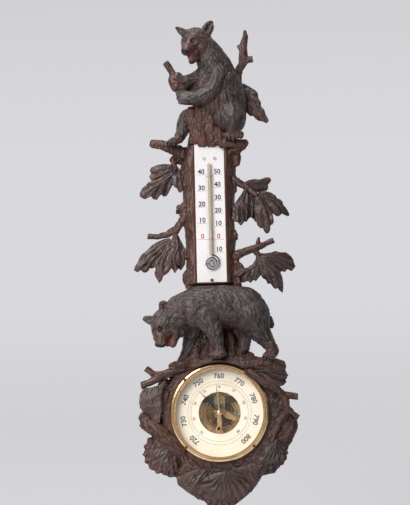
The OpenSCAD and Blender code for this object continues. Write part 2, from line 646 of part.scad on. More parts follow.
module right_vine() color("#42281f") difference() {
    $balls = 6;
    union() {
        limb([[52, 52, 48, 6], [66, 44, 44, 6], [80, 30, 40, 5], [86, 15, 40, 4.4],
              [83, -4, 40, 4.4], [72, -24, 40, 4.4], [68, -42, 40, 4]]);
        limb([[86, 22, 40, 4], [94, 22, 38, 3.6], [102, 18, 36, 3.6]]);
        limb([[84, 4, 40, 4], [94, -2, 40, 3.6], [103, -9, 40, 3.4]]);
        limb([[66, 44, 44, 5], [82, 40, 42, 4], [90, 36, 40, 3.4]]);
    }
    surround_mass(carve_gap);
    rod(bezel_r + 0.8, seat_z - 1, 90, carve_fn);
}

module bead_pair(places, r) for (p = places) translate(p) sphere(r = r, $fn = 32);
module seated_bear_eyes() color("#15100c") on_top() bead_pair(seated_eyes, seated_eye_r);
module walking_bear_eyes() color("#15100c") bead_pair(walking_eyes, walking_eye_r);

module spray_pegs() color("#8a6a4a") peg_set();
module bear_dowels() color("#8a6a4a") bear_dowel_set();
module trunk_dowels() color("#8a6a4a") trunk_dowel_set();
module board_screws() color("#b59a5a") board_screw_set();

// Hanger: an iron plate with an eye that is let into the back
module hanger_plate() color("#6f6a62") difference() {
    translate([hang_x - hanger_w / 2, hanger_y - hanger_h / 2, 0]) cube([hanger_w, hanger_h, hanger_t]);
    translate([hang_x, hang_h, -1]) cylinder(r = hanger_eye_r, h = hanger_t + 2, $fn = round_fn);
    for (y = hanger_screws_y) translate([hang_x, y, 0]) {
        translate([0, 0, -1]) cylinder(r = 1.5 + press_gap, h = 5, $fn = 32);
        translate([0, 0, -0.01]) cylinder(r1 = 2.8, r2 = 1.5 + press_gap, h = 1.2, $fn = 32);
    }
}
module hanger_screws() color("#b59a5a") for (y = hanger_screws_y) translate([hang_x, y, 0]) {
    translate([0, 0, 0.1]) cylinder(r1 = 2.5, r2 = 1.5, h = 1, $fn = 32);
    rod(1.5, 1.1, 12);
}

// Thermometer
module scale_plate() color("#f2efe6") difference() {
    translate([trunk_x - plate_w / 2, plate_y0, bed_z]) cube([plate_w, plate_h, plate_t]);
    for (y = pins_y) translate([trunk_x, y, bed_z - 1])
        cylinder(r = 1 + press_gap, h = plate_t + 2, $fn = 32);
    for (y = staples_y) for (s = [-1, 1]) translate([trunk_x + s * staple_r, y, plate_front - 2])
        cylinder(r = wire_r + press_gap, h = 4, $fn = 24);
}
module plate_pins() color("#4a3a2a") for (y = pins_y) translate([trunk_x, y, 0]) {
    rod(1, bed_z - 8, plate_front, 32);
    rod(2.1, plate_front, plate_front + 0.9, 32);
}
staple_r = stem_r + wire_r + 0.1;
module thermometer_stem() color("#dfe8e6", 0.5) translate([trunk_x, stem_y0, stem_z]) rotate([-90, 0, 0])
    difference() {
        union() {
            cylinder(r = stem_r, h = stem_y1 - stem_y0 - stem_r, $fn = round_fn);
            translate([0, 0, stem_y1 - stem_y0 - stem_r]) sphere(r = stem_r, $fn = round_fn);
        }
        translate([0, 0, -1]) cylinder(r = thread_r + press_gap, h = stem_y1 - stem_y0 - 6, $fn = 32);
    }
module mercury_thread() color("#b9bcc0") translate([trunk_x, stem_y0 + 0.1, stem_z]) rotate([-90, 0, 0])
    cylinder(r = thread_r, h = 58, $fn = 32);

// The bulb: a glass tube wound into a flat spiral under the stem
bulb_tube = 1.9;
bulb_turns = 2.4;
bulb_steps = 38;
bulb_pitch = 4.1;
module thermometer_bulb() color("#c9d0d0") {
    sides = 6;
    centre = [trunk_x, bulb_y, stem_z];
    path = [for (i = [0 : bulb_steps])
        let (part = bulb_turns * i / bulb_steps, a = 90 - 360 * part,
             r = bulb_r - bulb_tube - bulb_pitch * part * 0.72)
        [r * cos(a), r * sin(a), 0]];
    pts = [for (i = [0 : bulb_steps])
        let (ahead = path[min(i + 1, bulb_steps)], behind = path[max(i - 1, 0)],
             t = unit(ahead - behind), n = [-t[1], t[0], 0],
             tube = bulb_tube * (i == bulb_steps ? 0.5 : 1))
        for (k = [0 : sides - 1])
            let (b = 360 * k / sides)
            centre + path[i] + n * cos(b) * tube + [0, 0, sin(b) * tube]];
    faces = concat(
        [for (i = [0 : bulb_steps - 1]) for (k = [0 : sides - 1])
            let (a = i * sides + k, b = i * sides + (k + 1) % sides)
            each [[a, a + sides, b + sides], [a, b + sides, b]]],
        [[for (k = [0 : sides - 1]) k]],
        [[for (k = [sides - 1 : -1 : 0]) bulb_steps * sides + k]]);
    polyhedron(pts, faces);
    translate([trunk_x, bulb_y + bulb_r - bulb_tube, stem_z]) rotate([-90, 0, 0])
        cylinder(r1 = bulb_tube, r2 = stem_r, h = stem_y0 - bulb_y - bulb_r + bulb_tube, $fn = 32);
}
module stem_staples() color("#b08d4a") for (y = staples_y) translate([trunk_x, y, stem_z]) {
    rotate([90, 0, 0]) rotate_extrude(angle = 180, $fn = round_fn) translate([staple_r, 0])
        circle(r = wire_r, $fn = 24);
    for (s = [-1, 1]) translate([s * staple_r, 0, 0]) rod(wire_r, plate_front - stem_z - 1.5, 0, 24);
}

// Case and bezel
module case() color("#b8923f") difference() {
    rotate_extrude($fn = 180) polygon([
        [0, case_back], [case_r, case_back], [case_r, seat_z], [flange_r, seat_z],
        [flange_r, seat_z + flange_t], [case_r - case_wall, seat_z + flange_t],
        [case_r - case_wall, base_z], [0, base_z]]);
    rod(8, case_back - 1, base_z + 1);
    bezel_screw_holes(0.15, 48);
}

bezel_curve = [for (i = [0 : 6]) let (a = 90 * i / 6)
    [bezel_r - 3.2 * (1 - cos(a)), seat_z + 4 + (bezel_h - 4.6) * sin(a)]];
module bezel() color("#d8aa4a") difference() {
    rotate_extrude($fn = 180) polygon(concat(
        [[bezel_r, seat_z]], bezel_curve,
        [[open_r + 3, bezel_top - 0.6], [open_r + 2.4, bezel_top], [open_r + 0.8, bezel_top],
         [open_r, bezel_top - 0.8], [open_r, glass_z + glass_t],
         [glass_r + seat_gap, glass_z + glass_t], [glass_r + seat_gap, seat_z + flange_t + 0.1],
         [flange_r + 0.2, seat_z + flange_t + 0.1], [flange_r + 0.2, seat_z]]));
    for (a = bezel_screws_at) rotate(a) translate([bezel_screw_ring, 0, 0]) {
        rod(1.2 + 0.15, seat_z - 1, bezel_top + 1);
        rod(2.2, bezel_top - 2.4, bezel_top + 1);
    }
}
module bezel_screws() color("#5c4a26") difference() {
    bezel_screw_set();
    for (a = bezel_screws_at) rotate(a) translate([bezel_screw_ring - 3, -0.25, bezel_top - 1.5])
        cube([6, 0.5, 2]);
}
module dial_glass() color("#dfe8ea", 0.3) ring(1.2 + run_gap, glass_r, glass_z, glass_t);
module glass_ring() color("#d8aa4a") ring(open_r + 0.3, glass_r + 0.2, glass_z - ring_t, ring_t);
module dial() color("#f4f0e4") ring(dial_hole_d / 2, dial_r, dial_z, dial_t);

// Movement
module base_plate() color("#a8833c") difference() {
    rod(base_r, base_z, base_top, 120);
    rod(2.5 + run_gap, base_z - 1, base_top + 1);
}
module dial_pillars() color("#c89c46") for (a = pillar_at) rotate(a) translate([pillar_ring, 0, 0]) {
    rod(pillar_r, base_top, dial_z);
    rod(pillar_r + 1, base_top, base_top + 1.5);
}
// Corrugated capsule, its foot and the stud that the main spring pulls on
corrugations = 4;
module capsule() color("#c89c46") difference() {
    rotate_extrude($fn = 120) polygon(concat(
        [[0, base_top + seat_gap], [6, base_top + seat_gap], [6, capsule_z]],
        [[capsule_r - 1, capsule_z], [capsule_r, capsule_z + 0.6], [capsule_r, capsule_top - 1.6],
         [capsule_r - 1, capsule_top - 1]],
        [for (i = [0 : corrugations * 2]) [capsule_r - 2 - i * (capsule_r - 8) / (corrugations * 2),
                                           capsule_top - (i % 2 == 0 ? 1 : 0)]],
        [[post_r, capsule_top - 1], [post_r, spring_low - seat_gap], [neck_r, spring_low - seat_gap],
         [neck_r, post_top], [0, post_top]]));
    rod(2.5 + run_gap, base_top - 1, capsule_z + 0.5);
}
module capsule_nut() color("#3f4654") difference() {
    translate([0, 0, spring_low + spring_t + seat_gap]) cylinder(r = 3.2, h = 1.6, $fn = 6);
    rod(neck_r + press_gap, spring_low, post_top + 1);
}
module bridge() color("#2c2a29") difference() {
    union() {
        translate([-bridge_x - 4, bridge_y0, bridge_z])
            cube([2 * bridge_x + 8, bridge_y1 - bridge_y0, bridge_t]);
        for (s = [-1, 1]) translate([s * bridge_x - 3, bridge_y0, base_top])
            cube([6, bridge_y1 - bridge_y0, bridge_z - base_top]);
    }
    for (s = [-1, 1]) translate([s * bridge_x, (bridge_y0 + bridge_y1) / 2, 0])
        rod(screw_r + press_gap, base_top + 2, bridge_z + bridge_t + 1);
}
module bridge_screws() color("#c89c46") for (s = [-1, 1])
    translate([s * bridge_x, (bridge_y0 + bridge_y1) / 2, 0]) {
    rod(screw_r, base_top + 2.5, bridge_z + bridge_t);
    difference() {
        rod(2.8, bridge_z + bridge_t, bridge_z + bridge_t + 1.6);
        translate([-3, -0.3, bridge_z + bridge_t + 0.8]) cube([6, 0.6, 1]);
    }
}
// A bent strip from the bridge to the capsule's stud
spring_high = bridge_z + bridge_t;
module main_spring() color("#46505e") difference() {
    translate([-spring_w / 2, 0, 0]) rotate([90, 0, 90]) linear_extrude(spring_w) polygon([
        [bridge_y1, spring_high], [bridge_y1, spring_high + spring_t],
        [bridge_y0 - 2, spring_high + spring_t],
        [6, spring_low + spring_t], [-6, spring_low + spring_t], [-6, spring_low], [5, spring_low],
        [bridge_y0 - 1, spring_high]]);
    rod(neck_r + 0.2, spring_low - 2, spring_high + 4);
}
lever_end = [rock_x - crank, crank_y];
module lever_arm() color("#d8aa4a") difference() {
    translate([0, 0, lever_z]) linear_extrude(lever_t)
        polygon([[5, -5.5], [5.2, 2], [9, 2], [lever_end[0] + 2.2, lever_end[1] + 1.6],
                 [lever_end[0] + 2, lever_end[1] - 2], [lever_end[0] - 2, lever_end[1] - 2]]);
    translate([lever_end[0], lever_end[1], 0]) rod(eye_r, lever_z - 1, lever_z + lever_t + 1, 32);
}
module link_rod() color("#c8ccd2") translate([lever_end[0], lever_end[1], 0])
    rod(link_r, rock_z - 1.4, lever_z + lever_t + 1.4, 32);
module rocking_shaft() color("#c8ccd2") difference() {
    union() {
        translate([rock_x, rock_y1, rock_z]) rotate([90, 0, 0])
            cylinder(r = rock_r, h = rock_y1 - rock_y0, $fn = 32);
        translate([rock_x, rock_y1 + pivot_len, rock_z]) rotate([90, 0, 0])
            cylinder(r = pivot_r, h = rock_y1 - rock_y0 + 2 * pivot_len, $fn = 32);
        translate([rock_x - crank - 2, crank_y - 2, rock_z - 0.5]) cube([crank + 2, 4, 1]);
        translate([rock_x, -pull_r, rock_z]) cylinder(r = 0.5, h = tall_arm + 1.2, $fn = 24);
    }
    translate([rock_x - crank, crank_y, 0]) rod(eye_r, rock_z - 2, rock_z + 2, 32);
}
module shaft_brackets() color("#d8aa4a")
    for (y = [rock_y0 - seat_gap - pivot_len, rock_y1 + seat_gap]) difference() {
    translate([rock_x - 2.5, y, base_top]) cube([5, pivot_len, rock_z + 2 - base_top]);
    translate([rock_x, y - 1, rock_z]) rotate([-90, 0, 0])
        cylinder(r = pivot_r + run_gap, h = pivot_len + 2, $fn = 32);
}
// Fine chain from the tall arm to the hand arbor
chain_links = 11;
chain_pitch = (rock_x - 2) / chain_links;
module chain() color("#c8ccd2") {
    translate([0, -pull_r + 0.2, chain_z]) rotate([90, 0, 0]) linear_extrude(0.4) union() {
        translate([0, -0.18]) square([rock_x - 1.3, 0.36]);
        for (i = [0 : chain_links - 1]) translate([0.6 + i * chain_pitch, 0]) circle(r = 0.55, $fn = 24);
    }
    translate([rock_x, -pull_r, chain_z - 0.25]) difference() {
        cylinder(r = 1.8, h = 0.5, $fn = 32);
        translate([0, 0, -1]) cylinder(r = 1.2, h = 3, $fn = 32);
    }
}
module hand_arbor() color("#c8ccd2") {
    rod(0.5, cock_low_z + 0.2, cock_low_z + cock_t + 0.3, 32);
    rod(arbor_r, cock_low_z + cock_t + 0.3, hand_z + hand_t + 0.8, 32);
}
// Flat spiral from the arbor's collet to a stud under the upper cock
hair_z = chain_z + 1.2;
module hairspring() color("#46505e") {
    turns = 3;
    steps = turns * 16;
    inner = [for (i = [0 : steps]) let (a = 360 * turns * i / steps, r = 1.5 + 5 * i / steps)
        [r * cos(a), r * sin(a)]];
    outer = [for (i = [steps : -1 : 0]) let (a = 360 * turns * i / steps, r = 1.75 + 5 * i / steps)
        [r * cos(a), r * sin(a)]];
    translate([0, 0, hair_z]) linear_extrude(0.5) polygon(concat(inner, outer));
    translate([0, 0, hair_z]) difference() {
        cylinder(r = 1.7, h = 0.5, $fn = 32);
        translate([0, 0, -1]) cylinder(r = arbor_r + press_gap, h = 3, $fn = 32);
    }
    translate([6.5, -0.6, hair_z]) cube([1.4, 1.2, cock_up_z - hair_z]);
}
module cock_bar(z, y0, x_end, end_r, bearing_r) difference() {
    translate([0, 0, z]) linear_extrude(cock_t) union() {
        circle(r = 4.5, $fn = 48);
        translate([x_end, y0]) circle(r = end_r, $fn = 48);
        polygon([[-3, 0], [3, 0], [x_end + 2.4, y0], [x_end - 2.4, y0]]);
    }
    rod(bearing_r + run_gap, z - 1, z + cock_t + 1, 32);
    translate([cock_x, cock_y, 0]) rod(1.2 + press_gap, z - 1, z + cock_t + 1, 32);
}
module lower_cock() color("#c89c46") {
    cock_bar(cock_low_z, leg_y, 0, 4.2, 0.5);
    translate([0, leg_y, 0]) rod(2.6, base_top, cock_low_z);
    difference() {
        translate([cock_x, cock_y, 0]) rod(2.6, cock_low_z + cock_t, cock_up_z);
        translate([cock_x, cock_y, 0]) rod(1.2 + press_gap, cock_low_z, cock_up_z + 1, 32);
    }
}
module upper_cock() color("#d8aa4a") cock_bar(cock_up_z, cock_y, cock_x, 4.2, arbor_r);
module cock_screw() color("#2e3a5c") translate([cock_x, cock_y, 0]) difference() {
    union() {
        rod(1.2, cock_low_z + 0.2, cock_up_z + cock_t, 32);
        rod(2.4, cock_up_z + cock_t, cock_up_z + cock_t + 1.4, 32);
    }
    translate([-3, -0.3, cock_up_z + cock_t + 0.8]) cube([6, 0.6, 1]);
}
// Blued hand with a slender tip and a counterweight tail
hand_boss_r = 2.6;
hand_tail = [0, -hand_len * 0.46];
hand_shoulder = [0.8, hand_len * 0.6];
function arc(r, from, to, steps, c = [0, 0]) = [for (i = [0 : steps])
    let (a = from + (to - from) * i / steps) c + r * [cos(a), sin(a)]];
module indicating_hand() color("#1d2740") rotate(hand_at) difference() {
    translate([0, 0, hand_z]) linear_extrude(hand_t) polygon(concat(
        [[0, hand_len], hand_shoulder], arc(hand_boss_r, 66, -70, 10), arc(1.9, 45, -225, 12, hand_tail),
        arc(hand_boss_r, 250, 114, 10), [[-hand_shoulder[0], hand_shoulder[1]]]));
    rod(arbor_r + press_gap, hand_z - 1, hand_z + hand_t + 1, 32);
}
// Gilt hand turned by the knob on the glass
knob_z = bezel_top - 3.6 + seat_gap;
module set_hand() color("#e0b454") {
    rotate(set_at) translate([0, 0, set_z]) linear_extrude(set_t) union() {
        circle(r = 2.4, $fn = 48);
        polygon([[-0.9, 0], [-0.6, set_len * 0.7], [0, set_len], [0.6, set_len * 0.7], [0.9, 0]]);
        polygon([[-0.8, 0], [0.8, 0], [0.9, -12], [-0.9, -12]]);
    }
    rod(1.2, set_z, knob_z + 1, 32);
    rod(3, knob_z, knob_z + 1, 48);
    translate([0, 0, knob_z + 1]) cylinder(r1 = 2, r2 = 2.6, h = 3, $fn = 48);
    translate([0, 0, knob_z + 1 + knob_r]) sphere(r = knob_r, $fn = round_fn);
}
module adjusting_screw() color("#c89c46") difference() {
    union() {
        rod(4.5, case_back - 1.5, base_z - seat_gap);
        rod(2.5, base_z - seat_gap, capsule_z + 0.2);
    }
    translate([-6, -0.5, case_back - 2]) cube([12, 1, 1.6]);
}

on_wall() back_board();
on_wall() trunk();
on_wall() dial_surround();
on_wall() seated_bear();
on_wall() walking_bear();
on_wall() stump();
on_wall() held_stick();
on_wall() upper_left_spray();
on_wall() lower_left_spray();
on_wall() upper_right_spray();
on_wall() lower_right_spray();
on_wall() top_branch();
on_wall() left_twig();
on_wall() right_vine();
on_wall() seated_bear_eyes();
on_wall() walking_bear_eyes();
on_wall() spray_pegs();
on_wall() bear_dowels();
on_wall() trunk_dowels();
on_wall() board_screws();
on_wall() hanger_plate();
on_wall() hanger_screws();
on_wall() scale_plate();
on_wall() plate_pins();
on_wall() thermometer_stem();
on_wall() thermometer_bulb();
on_wall() mercury_thread();
on_wall() stem_staples();
on_wall() case();
on_wall() bezel();
on_wall() bezel_screws();
on_wall() dial_glass();
on_wall() glass_ring();
on_wall() dial();
on_wall() base_plate();
on_wall() dial_pillars();
on_wall() capsule();
on_wall() capsule_nut();
on_wall() bridge();
on_wall() bridge_screws();
on_wall() main_spring();
on_wall() lever_arm();
on_wall() link_rod();
on_wall() rocking_shaft();
on_wall() shaft_brackets();
on_wall() chain();
on_wall() hand_arbor();
on_wall() hairspring();
on_wall() lower_cock();
on_wall() upper_cock();
on_wall() cock_screw();
on_wall() indicating_hand();
on_wall() set_hand();
on_wall() adjusting_screw();
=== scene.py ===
# %% [markdown]
# # Carved barometer with two bears
#
# The object hangs on a wall: a carved lime-wood trunk with a thermometer, a bear sitting on top,
# a bear walking below, and a barometer in a carved rock and leaf surround. The measured model is
# loaded first, and every piece made here sits where that model says. Metal, glass and enamel keep
# their measured solids and get a finish. All the carving is modelled again as wood that a gouge cut.

import json
import math

import bmesh
import bpy
import numpy as np
from mathutils import Matrix, Vector


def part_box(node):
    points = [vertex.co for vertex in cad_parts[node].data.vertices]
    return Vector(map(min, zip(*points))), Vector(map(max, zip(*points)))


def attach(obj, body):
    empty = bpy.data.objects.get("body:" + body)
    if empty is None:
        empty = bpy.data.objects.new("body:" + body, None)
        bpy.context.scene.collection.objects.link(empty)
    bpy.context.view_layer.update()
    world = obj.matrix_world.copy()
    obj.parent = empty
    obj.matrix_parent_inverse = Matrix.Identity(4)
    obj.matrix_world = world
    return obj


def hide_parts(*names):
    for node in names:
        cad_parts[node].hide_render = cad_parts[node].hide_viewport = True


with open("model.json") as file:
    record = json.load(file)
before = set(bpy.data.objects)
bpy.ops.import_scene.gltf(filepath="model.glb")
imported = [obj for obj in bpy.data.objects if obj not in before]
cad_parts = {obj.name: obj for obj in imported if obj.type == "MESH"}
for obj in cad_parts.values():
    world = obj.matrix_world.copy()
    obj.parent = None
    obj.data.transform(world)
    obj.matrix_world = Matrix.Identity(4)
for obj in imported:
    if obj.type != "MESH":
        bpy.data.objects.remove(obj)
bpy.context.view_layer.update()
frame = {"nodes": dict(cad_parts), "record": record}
nodes = frame["nodes"]

# %% [markdown]
# ## Units and places
#
# The carving was measured in millimetres on a drawing: x to the right and y up from the dial's
# centre, z out from the wall. The scene is in metres with the wall behind at +Y. One matrix turns
# drawing millimetres into the scene, so every number below can be read against a ruler.

# %% Drawing millimetres to scene metres
MM = 0.001
DIAL_FROM_HANGER = (5.7, -375.0)  # where the dial's centre lies, measured from the hanger's eye

TO_SCENE = Matrix.Scale(MM, 4) @ Matrix((
    (1, 0, 0, DIAL_FROM_HANGER[0]),
    (0, 0, -1, 0),
    (0, 1, 0, DIAL_FROM_HANGER[1]),
    (0, 0, 0, 1),
))
TO_DRAWING = TO_SCENE.inverted()


def drawing_box(node):
    """Lowest and highest corner of a node, in drawing millimetres."""
    corners = [TO_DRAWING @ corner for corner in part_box(node)]
    low = [min(a, b) for a, b in zip(*corners)]
    high = [max(a, b) for a, b in zip(*corners)]
    return Vector(low), Vector(high)


plate_low, plate_high = drawing_box("scale_plate")
dial_high = drawing_box("dial")[1]
print("scale plate, mm:", plate_low[:], plate_high[:])
print("dial face at z", round(dial_high.z, 2), "mm")

# %% [markdown]
# ## Nodes and colours
#
# A material is a small network. One function adds a node, sets its options and fills or links its
# sockets, which keeps each recipe short enough to read. Colours are written as the hex values one
# sees on a screen, and Blender mixes light in linear numbers, so one function converts them.

# %% One way to add a node, one way to write a colour


def colour(hex_value):
    """An sRGB hex colour as linear red, green, blue and alpha."""
    parts = [int(hex_value[i : i + 2], 16) / 255 for i in (1, 3, 5)]
    linear = [c / 12.92 if c <= 0.04045 else ((c + 0.055) / 1.055) ** 2.4 for c in parts]
    return (*linear, 1.0)


def put(tree, kind, options=None, sockets=None):
    """Adds a node. A socket's value is a number, a colour or another node's output."""
    node = tree.nodes.new("ShaderNode" + kind)
    for name, value in (options or {}).items():
        setattr(node, name, value)
    for name, value in (sockets or {}).items():
        if isinstance(value, bpy.types.NodeSocket):
            tree.links.new(value, node.inputs[name])
        else:
            node.inputs[name].default_value = value
    return node


def new_material(name):
    """An empty material with its output node."""
    material = bpy.data.materials.new(name)
    material.use_nodes = True
    material.node_tree.nodes.clear()
    output = put(material.node_tree, "OutputMaterial")
    return material, material.node_tree, output


print("half grey on a screen, in linear light:", round(colour("#808080")[0], 3))

# %% [markdown]
# ## The camera
#
# The barometer was photographed from a little below and slightly from its right, with a long lens,
# and it leans a degree and a half to the left in the picture. The camera looks at a point a little
# left of the trunk's middle, and its roll gives the lean, so the object itself stays plumb.

# %% Camera
LENS_MM = 140
CAMERA_AWAY = 2592  # millimetres, the distance at which this lens frames the whole barometer
AZIMUTH = math.radians(2)
ELEVATION = math.radians(-6)
ROLL = math.radians(-1.35)
CLIP_END = 30
LOOK_AT = TO_SCENE @ Vector((-14.1, 211.4, 35))

back_from_subject = Vector((
    math.sin(AZIMUTH) * math.cos(ELEVATION),
    -math.cos(AZIMUTH) * math.cos(ELEVATION),
    math.sin(ELEVATION),
))
camera_data = bpy.data.cameras.new("studio_camera")
camera_data.lens = LENS_MM
camera_data.sensor_width = 36
camera_data.clip_end = CLIP_END
camera = bpy.data.objects.new("studio_camera", camera_data)
camera.location = LOOK_AT + back_from_subject * CAMERA_AWAY * MM
aim = back_from_subject.to_track_quat("Z", "Y")
camera.rotation_euler = (aim.to_matrix() @ Matrix.Rotation(ROLL, 3, "Z")).to_euler()
bpy.context.scene.collection.objects.link(camera)
bpy.context.scene.camera = camera
bpy.context.scene.view_settings.view_transform = "Standard"
print("camera at", [round(c, 3) for c in camera.location])

# %% [markdown]
# ## Paper sweep
#
# A studio sweep is one sheet of pale paper that runs along the floor and curves up behind. Two planes
# would do as floor and wall, but the line where they meet shows. Here a row of points is extruded
# sideways, and the curve hides where the floor ends. The wall part glows to the camera and to
# reflections, with a soft gradient that is painted light, for the way the studio light falls over the
# backdrop. The floor stays plain matte paper, so it keeps the object's shadow.

# %% Floor and backdrop
FLOOR_Z = -0.78  # all in metres
FLOOR_FRONT = -4.5
WALL_Y = 1.1
WALL_TOP = 2.6
SWEEP_RADIUS = 0.55
SWEEP_STEPS = 16
SWEEP_HALF_WIDTH = 3.2

sweep = bmesh.new()
profile = [Vector((-SWEEP_HALF_WIDTH, FLOOR_FRONT, FLOOR_Z))]
for step in range(SWEEP_STEPS + 1):
    turn = math.pi / 2 * step / SWEEP_STEPS
    y = WALL_Y - SWEEP_RADIUS + SWEEP_RADIUS * math.sin(turn)
    z = FLOOR_Z + SWEEP_RADIUS - SWEEP_RADIUS * math.cos(turn)
    profile.append(Vector((-SWEEP_HALF_WIDTH, y, z)))
profile.append(Vector((-SWEEP_HALF_WIDTH, WALL_Y, WALL_TOP)))
line = [sweep.verts.new(point) for point in profile]
edges = [sweep.edges.new(pair) for pair in zip(line, line[1:])]
wide = bmesh.ops.extrude_edge_only(sweep, edges=edges)
moved = [item for item in wide["geom"] if isinstance(item, bmesh.types.BMVert)]
bmesh.ops.translate(sweep, verts=moved, vec=(2 * SWEEP_HALF_WIDTH, 0, 0))
sweep.normal_update()
if sweep.faces[:][-1].normal.y > 0:  # the printed side of the paper faces the barometer
    bmesh.ops.reverse_faces(sweep, faces=sweep.faces[:])
for face in sweep.faces:
    face.smooth = True
sweep_mesh = bpy.data.meshes.new("paper_sweep")
sweep.to_mesh(sweep_mesh)
sweep.free()
paper_sweep = bpy.data.objects.new("paper_sweep", sweep_mesh)
bpy.context.scene.collection.objects.link(paper_sweep)

print("paper sweep faces:", len(sweep_mesh.polygons))

# %% Paper
PAPER = "#D9D8DD"
paper, tree, output = new_material("seamless_studio_paper")
place = put(tree, "TexCoord")
split = put(tree, "SeparateXYZ", sockets={0: place.outputs["Object"]})
# Heights are where the sight line through the picture's top, middle and foot meets the wall.
# Painted light: the wall is made a little darker towards the top and towards its foot.
rise = put(tree, "MapRange", {"interpolation_type": "SMOOTHSTEP"},
           {0: split.outputs["Z"], 1: 0.10, 2: 0.62})
sky = put(tree, "Mix", {"data_type": "RGBA"},
          {0: rise.outputs[0], 6: colour(PAPER), 7: colour("#CECDCF")})
band = put(tree, "MapRange", {"interpolation_type": "SMOOTHSTEP"},
           {0: split.outputs["Z"], 1: -0.36, 2: -0.12, 3: 1, 4: 0})
low = put(tree, "Mix", {"data_type": "RGBA"},
          {0: band.outputs[0], 6: sky.outputs[2], 7: colour("#D1D1D4")})
shown = put(tree, "Emission", sockets={"Color": low.outputs[2], "Strength": 1.0})
matte = put(tree, "BsdfPrincipled", sockets={"Base Color": colour(PAPER), "Roughness": 0.9})
ray = put(tree, "LightPath")
seen = put(tree, "Math", {"operation": "MAXIMUM"},
           {0: ray.outputs["Is Camera Ray"], 1: ray.outputs["Is Glossy Ray"]})
seen_too = put(tree, "Math", {"operation": "MAXIMUM"},
               {0: seen.outputs[0], 1: ray.outputs["Is Transmission Ray"]})
on_wall = put(tree, "MapRange", sockets={0: split.outputs["Z"], 1: FLOOR_Z + 0.02, 2: FLOOR_Z + 0.4})
share = put(tree, "Math", {"operation": "MULTIPLY"}, {0: seen_too.outputs[0], 1: on_wall.outputs[0]})
blend = put(tree, "MixShader", sockets={0: share.outputs[0], 1: matte.outputs[0], 2: shown.outputs[0]})
# From behind, the sheet is left out, so that the barometer's back can be looked at.
side = put(tree, "NewGeometry")
open_side = put(tree, "BsdfTransparent")
whole = put(tree, "MixShader", sockets={
    0: side.outputs["Backfacing"], 1: blend.outputs[0], 2: open_side.outputs[0]})
tree.links.new(whole.outputs[0], output.inputs["Surface"])
sweep_mesh.materials.append(paper)
print("paper nodes:", len(tree.nodes))

# %% [markdown]
# ## Studio light
#
# A large soft box high at the front left gives the satin highlights on the fur. A weak one on the
# right opens the shadows, and one above catches the tops of backs and heads. Brass needs something
# pale to mirror, so a white card stands in front, which only polished things show. The world adds a
# soft light, pale towards the ceiling and the backdrop, dim towards the camera and the floor.

# %% Lights


def soft_box(name, place, size, watts):
    """A square area lamp at a place in metres, aimed at the barometer."""
    data = bpy.data.lights.new(name, "AREA")
    data.size = size
    data.energy = watts
    lamp = bpy.data.objects.new(name, data)
    lamp.location = place
    lamp.rotation_euler = (Vector(place) - LOOK_AT).to_track_quat("Z", "Y").to_euler()
    bpy.context.scene.collection.objects.link(lamp)
    return lamp


soft_box("key_box", (-1.2, -2.1, 0.9), 1.7, 60)
soft_box("fill_box", (1.5, -2.3, 0.1), 1.3, 2)
soft_box("top_box", (-0.3, -0.4, 1.6), 0.8, 18)
glint = soft_box("white_card", (-0.1, -2.7, 0.0), 1.6, 2.6)
glint.visible_diffuse = False

# %% World
world = bpy.data.worlds.new("pale_room")
world.use_nodes = True
bpy.context.scene.world = world
tree = world.node_tree
tree.nodes.clear()
way = put(tree, "TexCoord")
split = put(tree, "SeparateXYZ", sockets={0: way.outputs["Generated"]})
upness = put(tree, "MapRange", {"interpolation_type": "SMOOTHSTEP"},
             {0: split.outputs["Z"], 1: -0.5, 2: 0.9, 3: 0.0, 4: 0.75})
backness = put(tree, "MapRange", {"interpolation_type": "SMOOTHSTEP"},
               {0: split.outputs["Y"], 1: -0.6, 2: 0.8, 3: 0.0, 4: 0.25})
leftness = put(tree, "MapRange", {"interpolation_type": "SMOOTHSTEP"},
               {0: split.outputs["X"], 1: -1.0, 2: 0.3, 3: 0.35, 4: 0.0})
pale = put(tree, "Math", {"operation": "ADD"}, {0: upness.outputs[0], 1: backness.outputs[0]})
paler = put(tree, "Math", {"operation": "ADD", "use_clamp": True},
            {0: pale.outputs[0], 1: leftness.outputs[0]})
room = put(tree, "Mix", {"data_type": "RGBA"},
           {0: paler.outputs[0], 6: colour("#36302D"), 7: colour("#E6E4E6")})
glow = put(tree, "Background", sockets={"Color": room.outputs[2], "Strength": 0.5})
far_wall = put(tree, "Background", sockets={"Color": colour("#D4D4D8"), "Strength": 1.0})
ray = put(tree, "LightPath")
seen = put(tree, "MixShader", sockets={
    0: ray.outputs["Is Camera Ray"], 1: glow.outputs[0], 2: far_wall.outputs[0]})
output = put(tree, "OutputWorld", sockets={"Surface": seen.outputs[0]})
print("world nodes:", len(tree.nodes))

# %% [markdown]
# ## Noise that follows the wood
#
# Carved fur and bark are rows of short gouge cuts. To place them without drawing thousands of
# strokes, a smooth random field is averaged along the direction in which the hair lies. That
# stretches its lumps into strands. Taking the size of the result, without its sign, gives a sharp
# valley wherever it crosses zero, just as a V gouge leaves. A Displace modifier with a noise texture
# would be quicker, but its lumps can't turn with the hair.

# %% Random field, streaks and cuts
SEED = 20240
LATTICE = 64  # random values along each side, before the field repeats
random_lattice = np.random.default_rng(SEED).random((LATTICE, LATTICE, LATTICE)) * 2 - 1
print("random field:", random_lattice.shape)


def lumps(points, size):
    """Smooth random values from -1 to 1 at points, with lumps of the given size."""
    grid = np.asarray(points) / size
    cell = np.floor(grid).astype(int)
    part = grid - cell
    part = part * part * (3 - 2 * part)
    total = np.zeros(len(grid))
    for corner in range(8):
        step = np.array([corner & 1, corner >> 1 & 1, corner >> 2 & 1])
        x, y, z = ((cell + step) % LATTICE).T
        weight = np.where(step, part, 1 - part).prod(axis=1)
        total += weight * random_lattice[x, y, z]
    return total


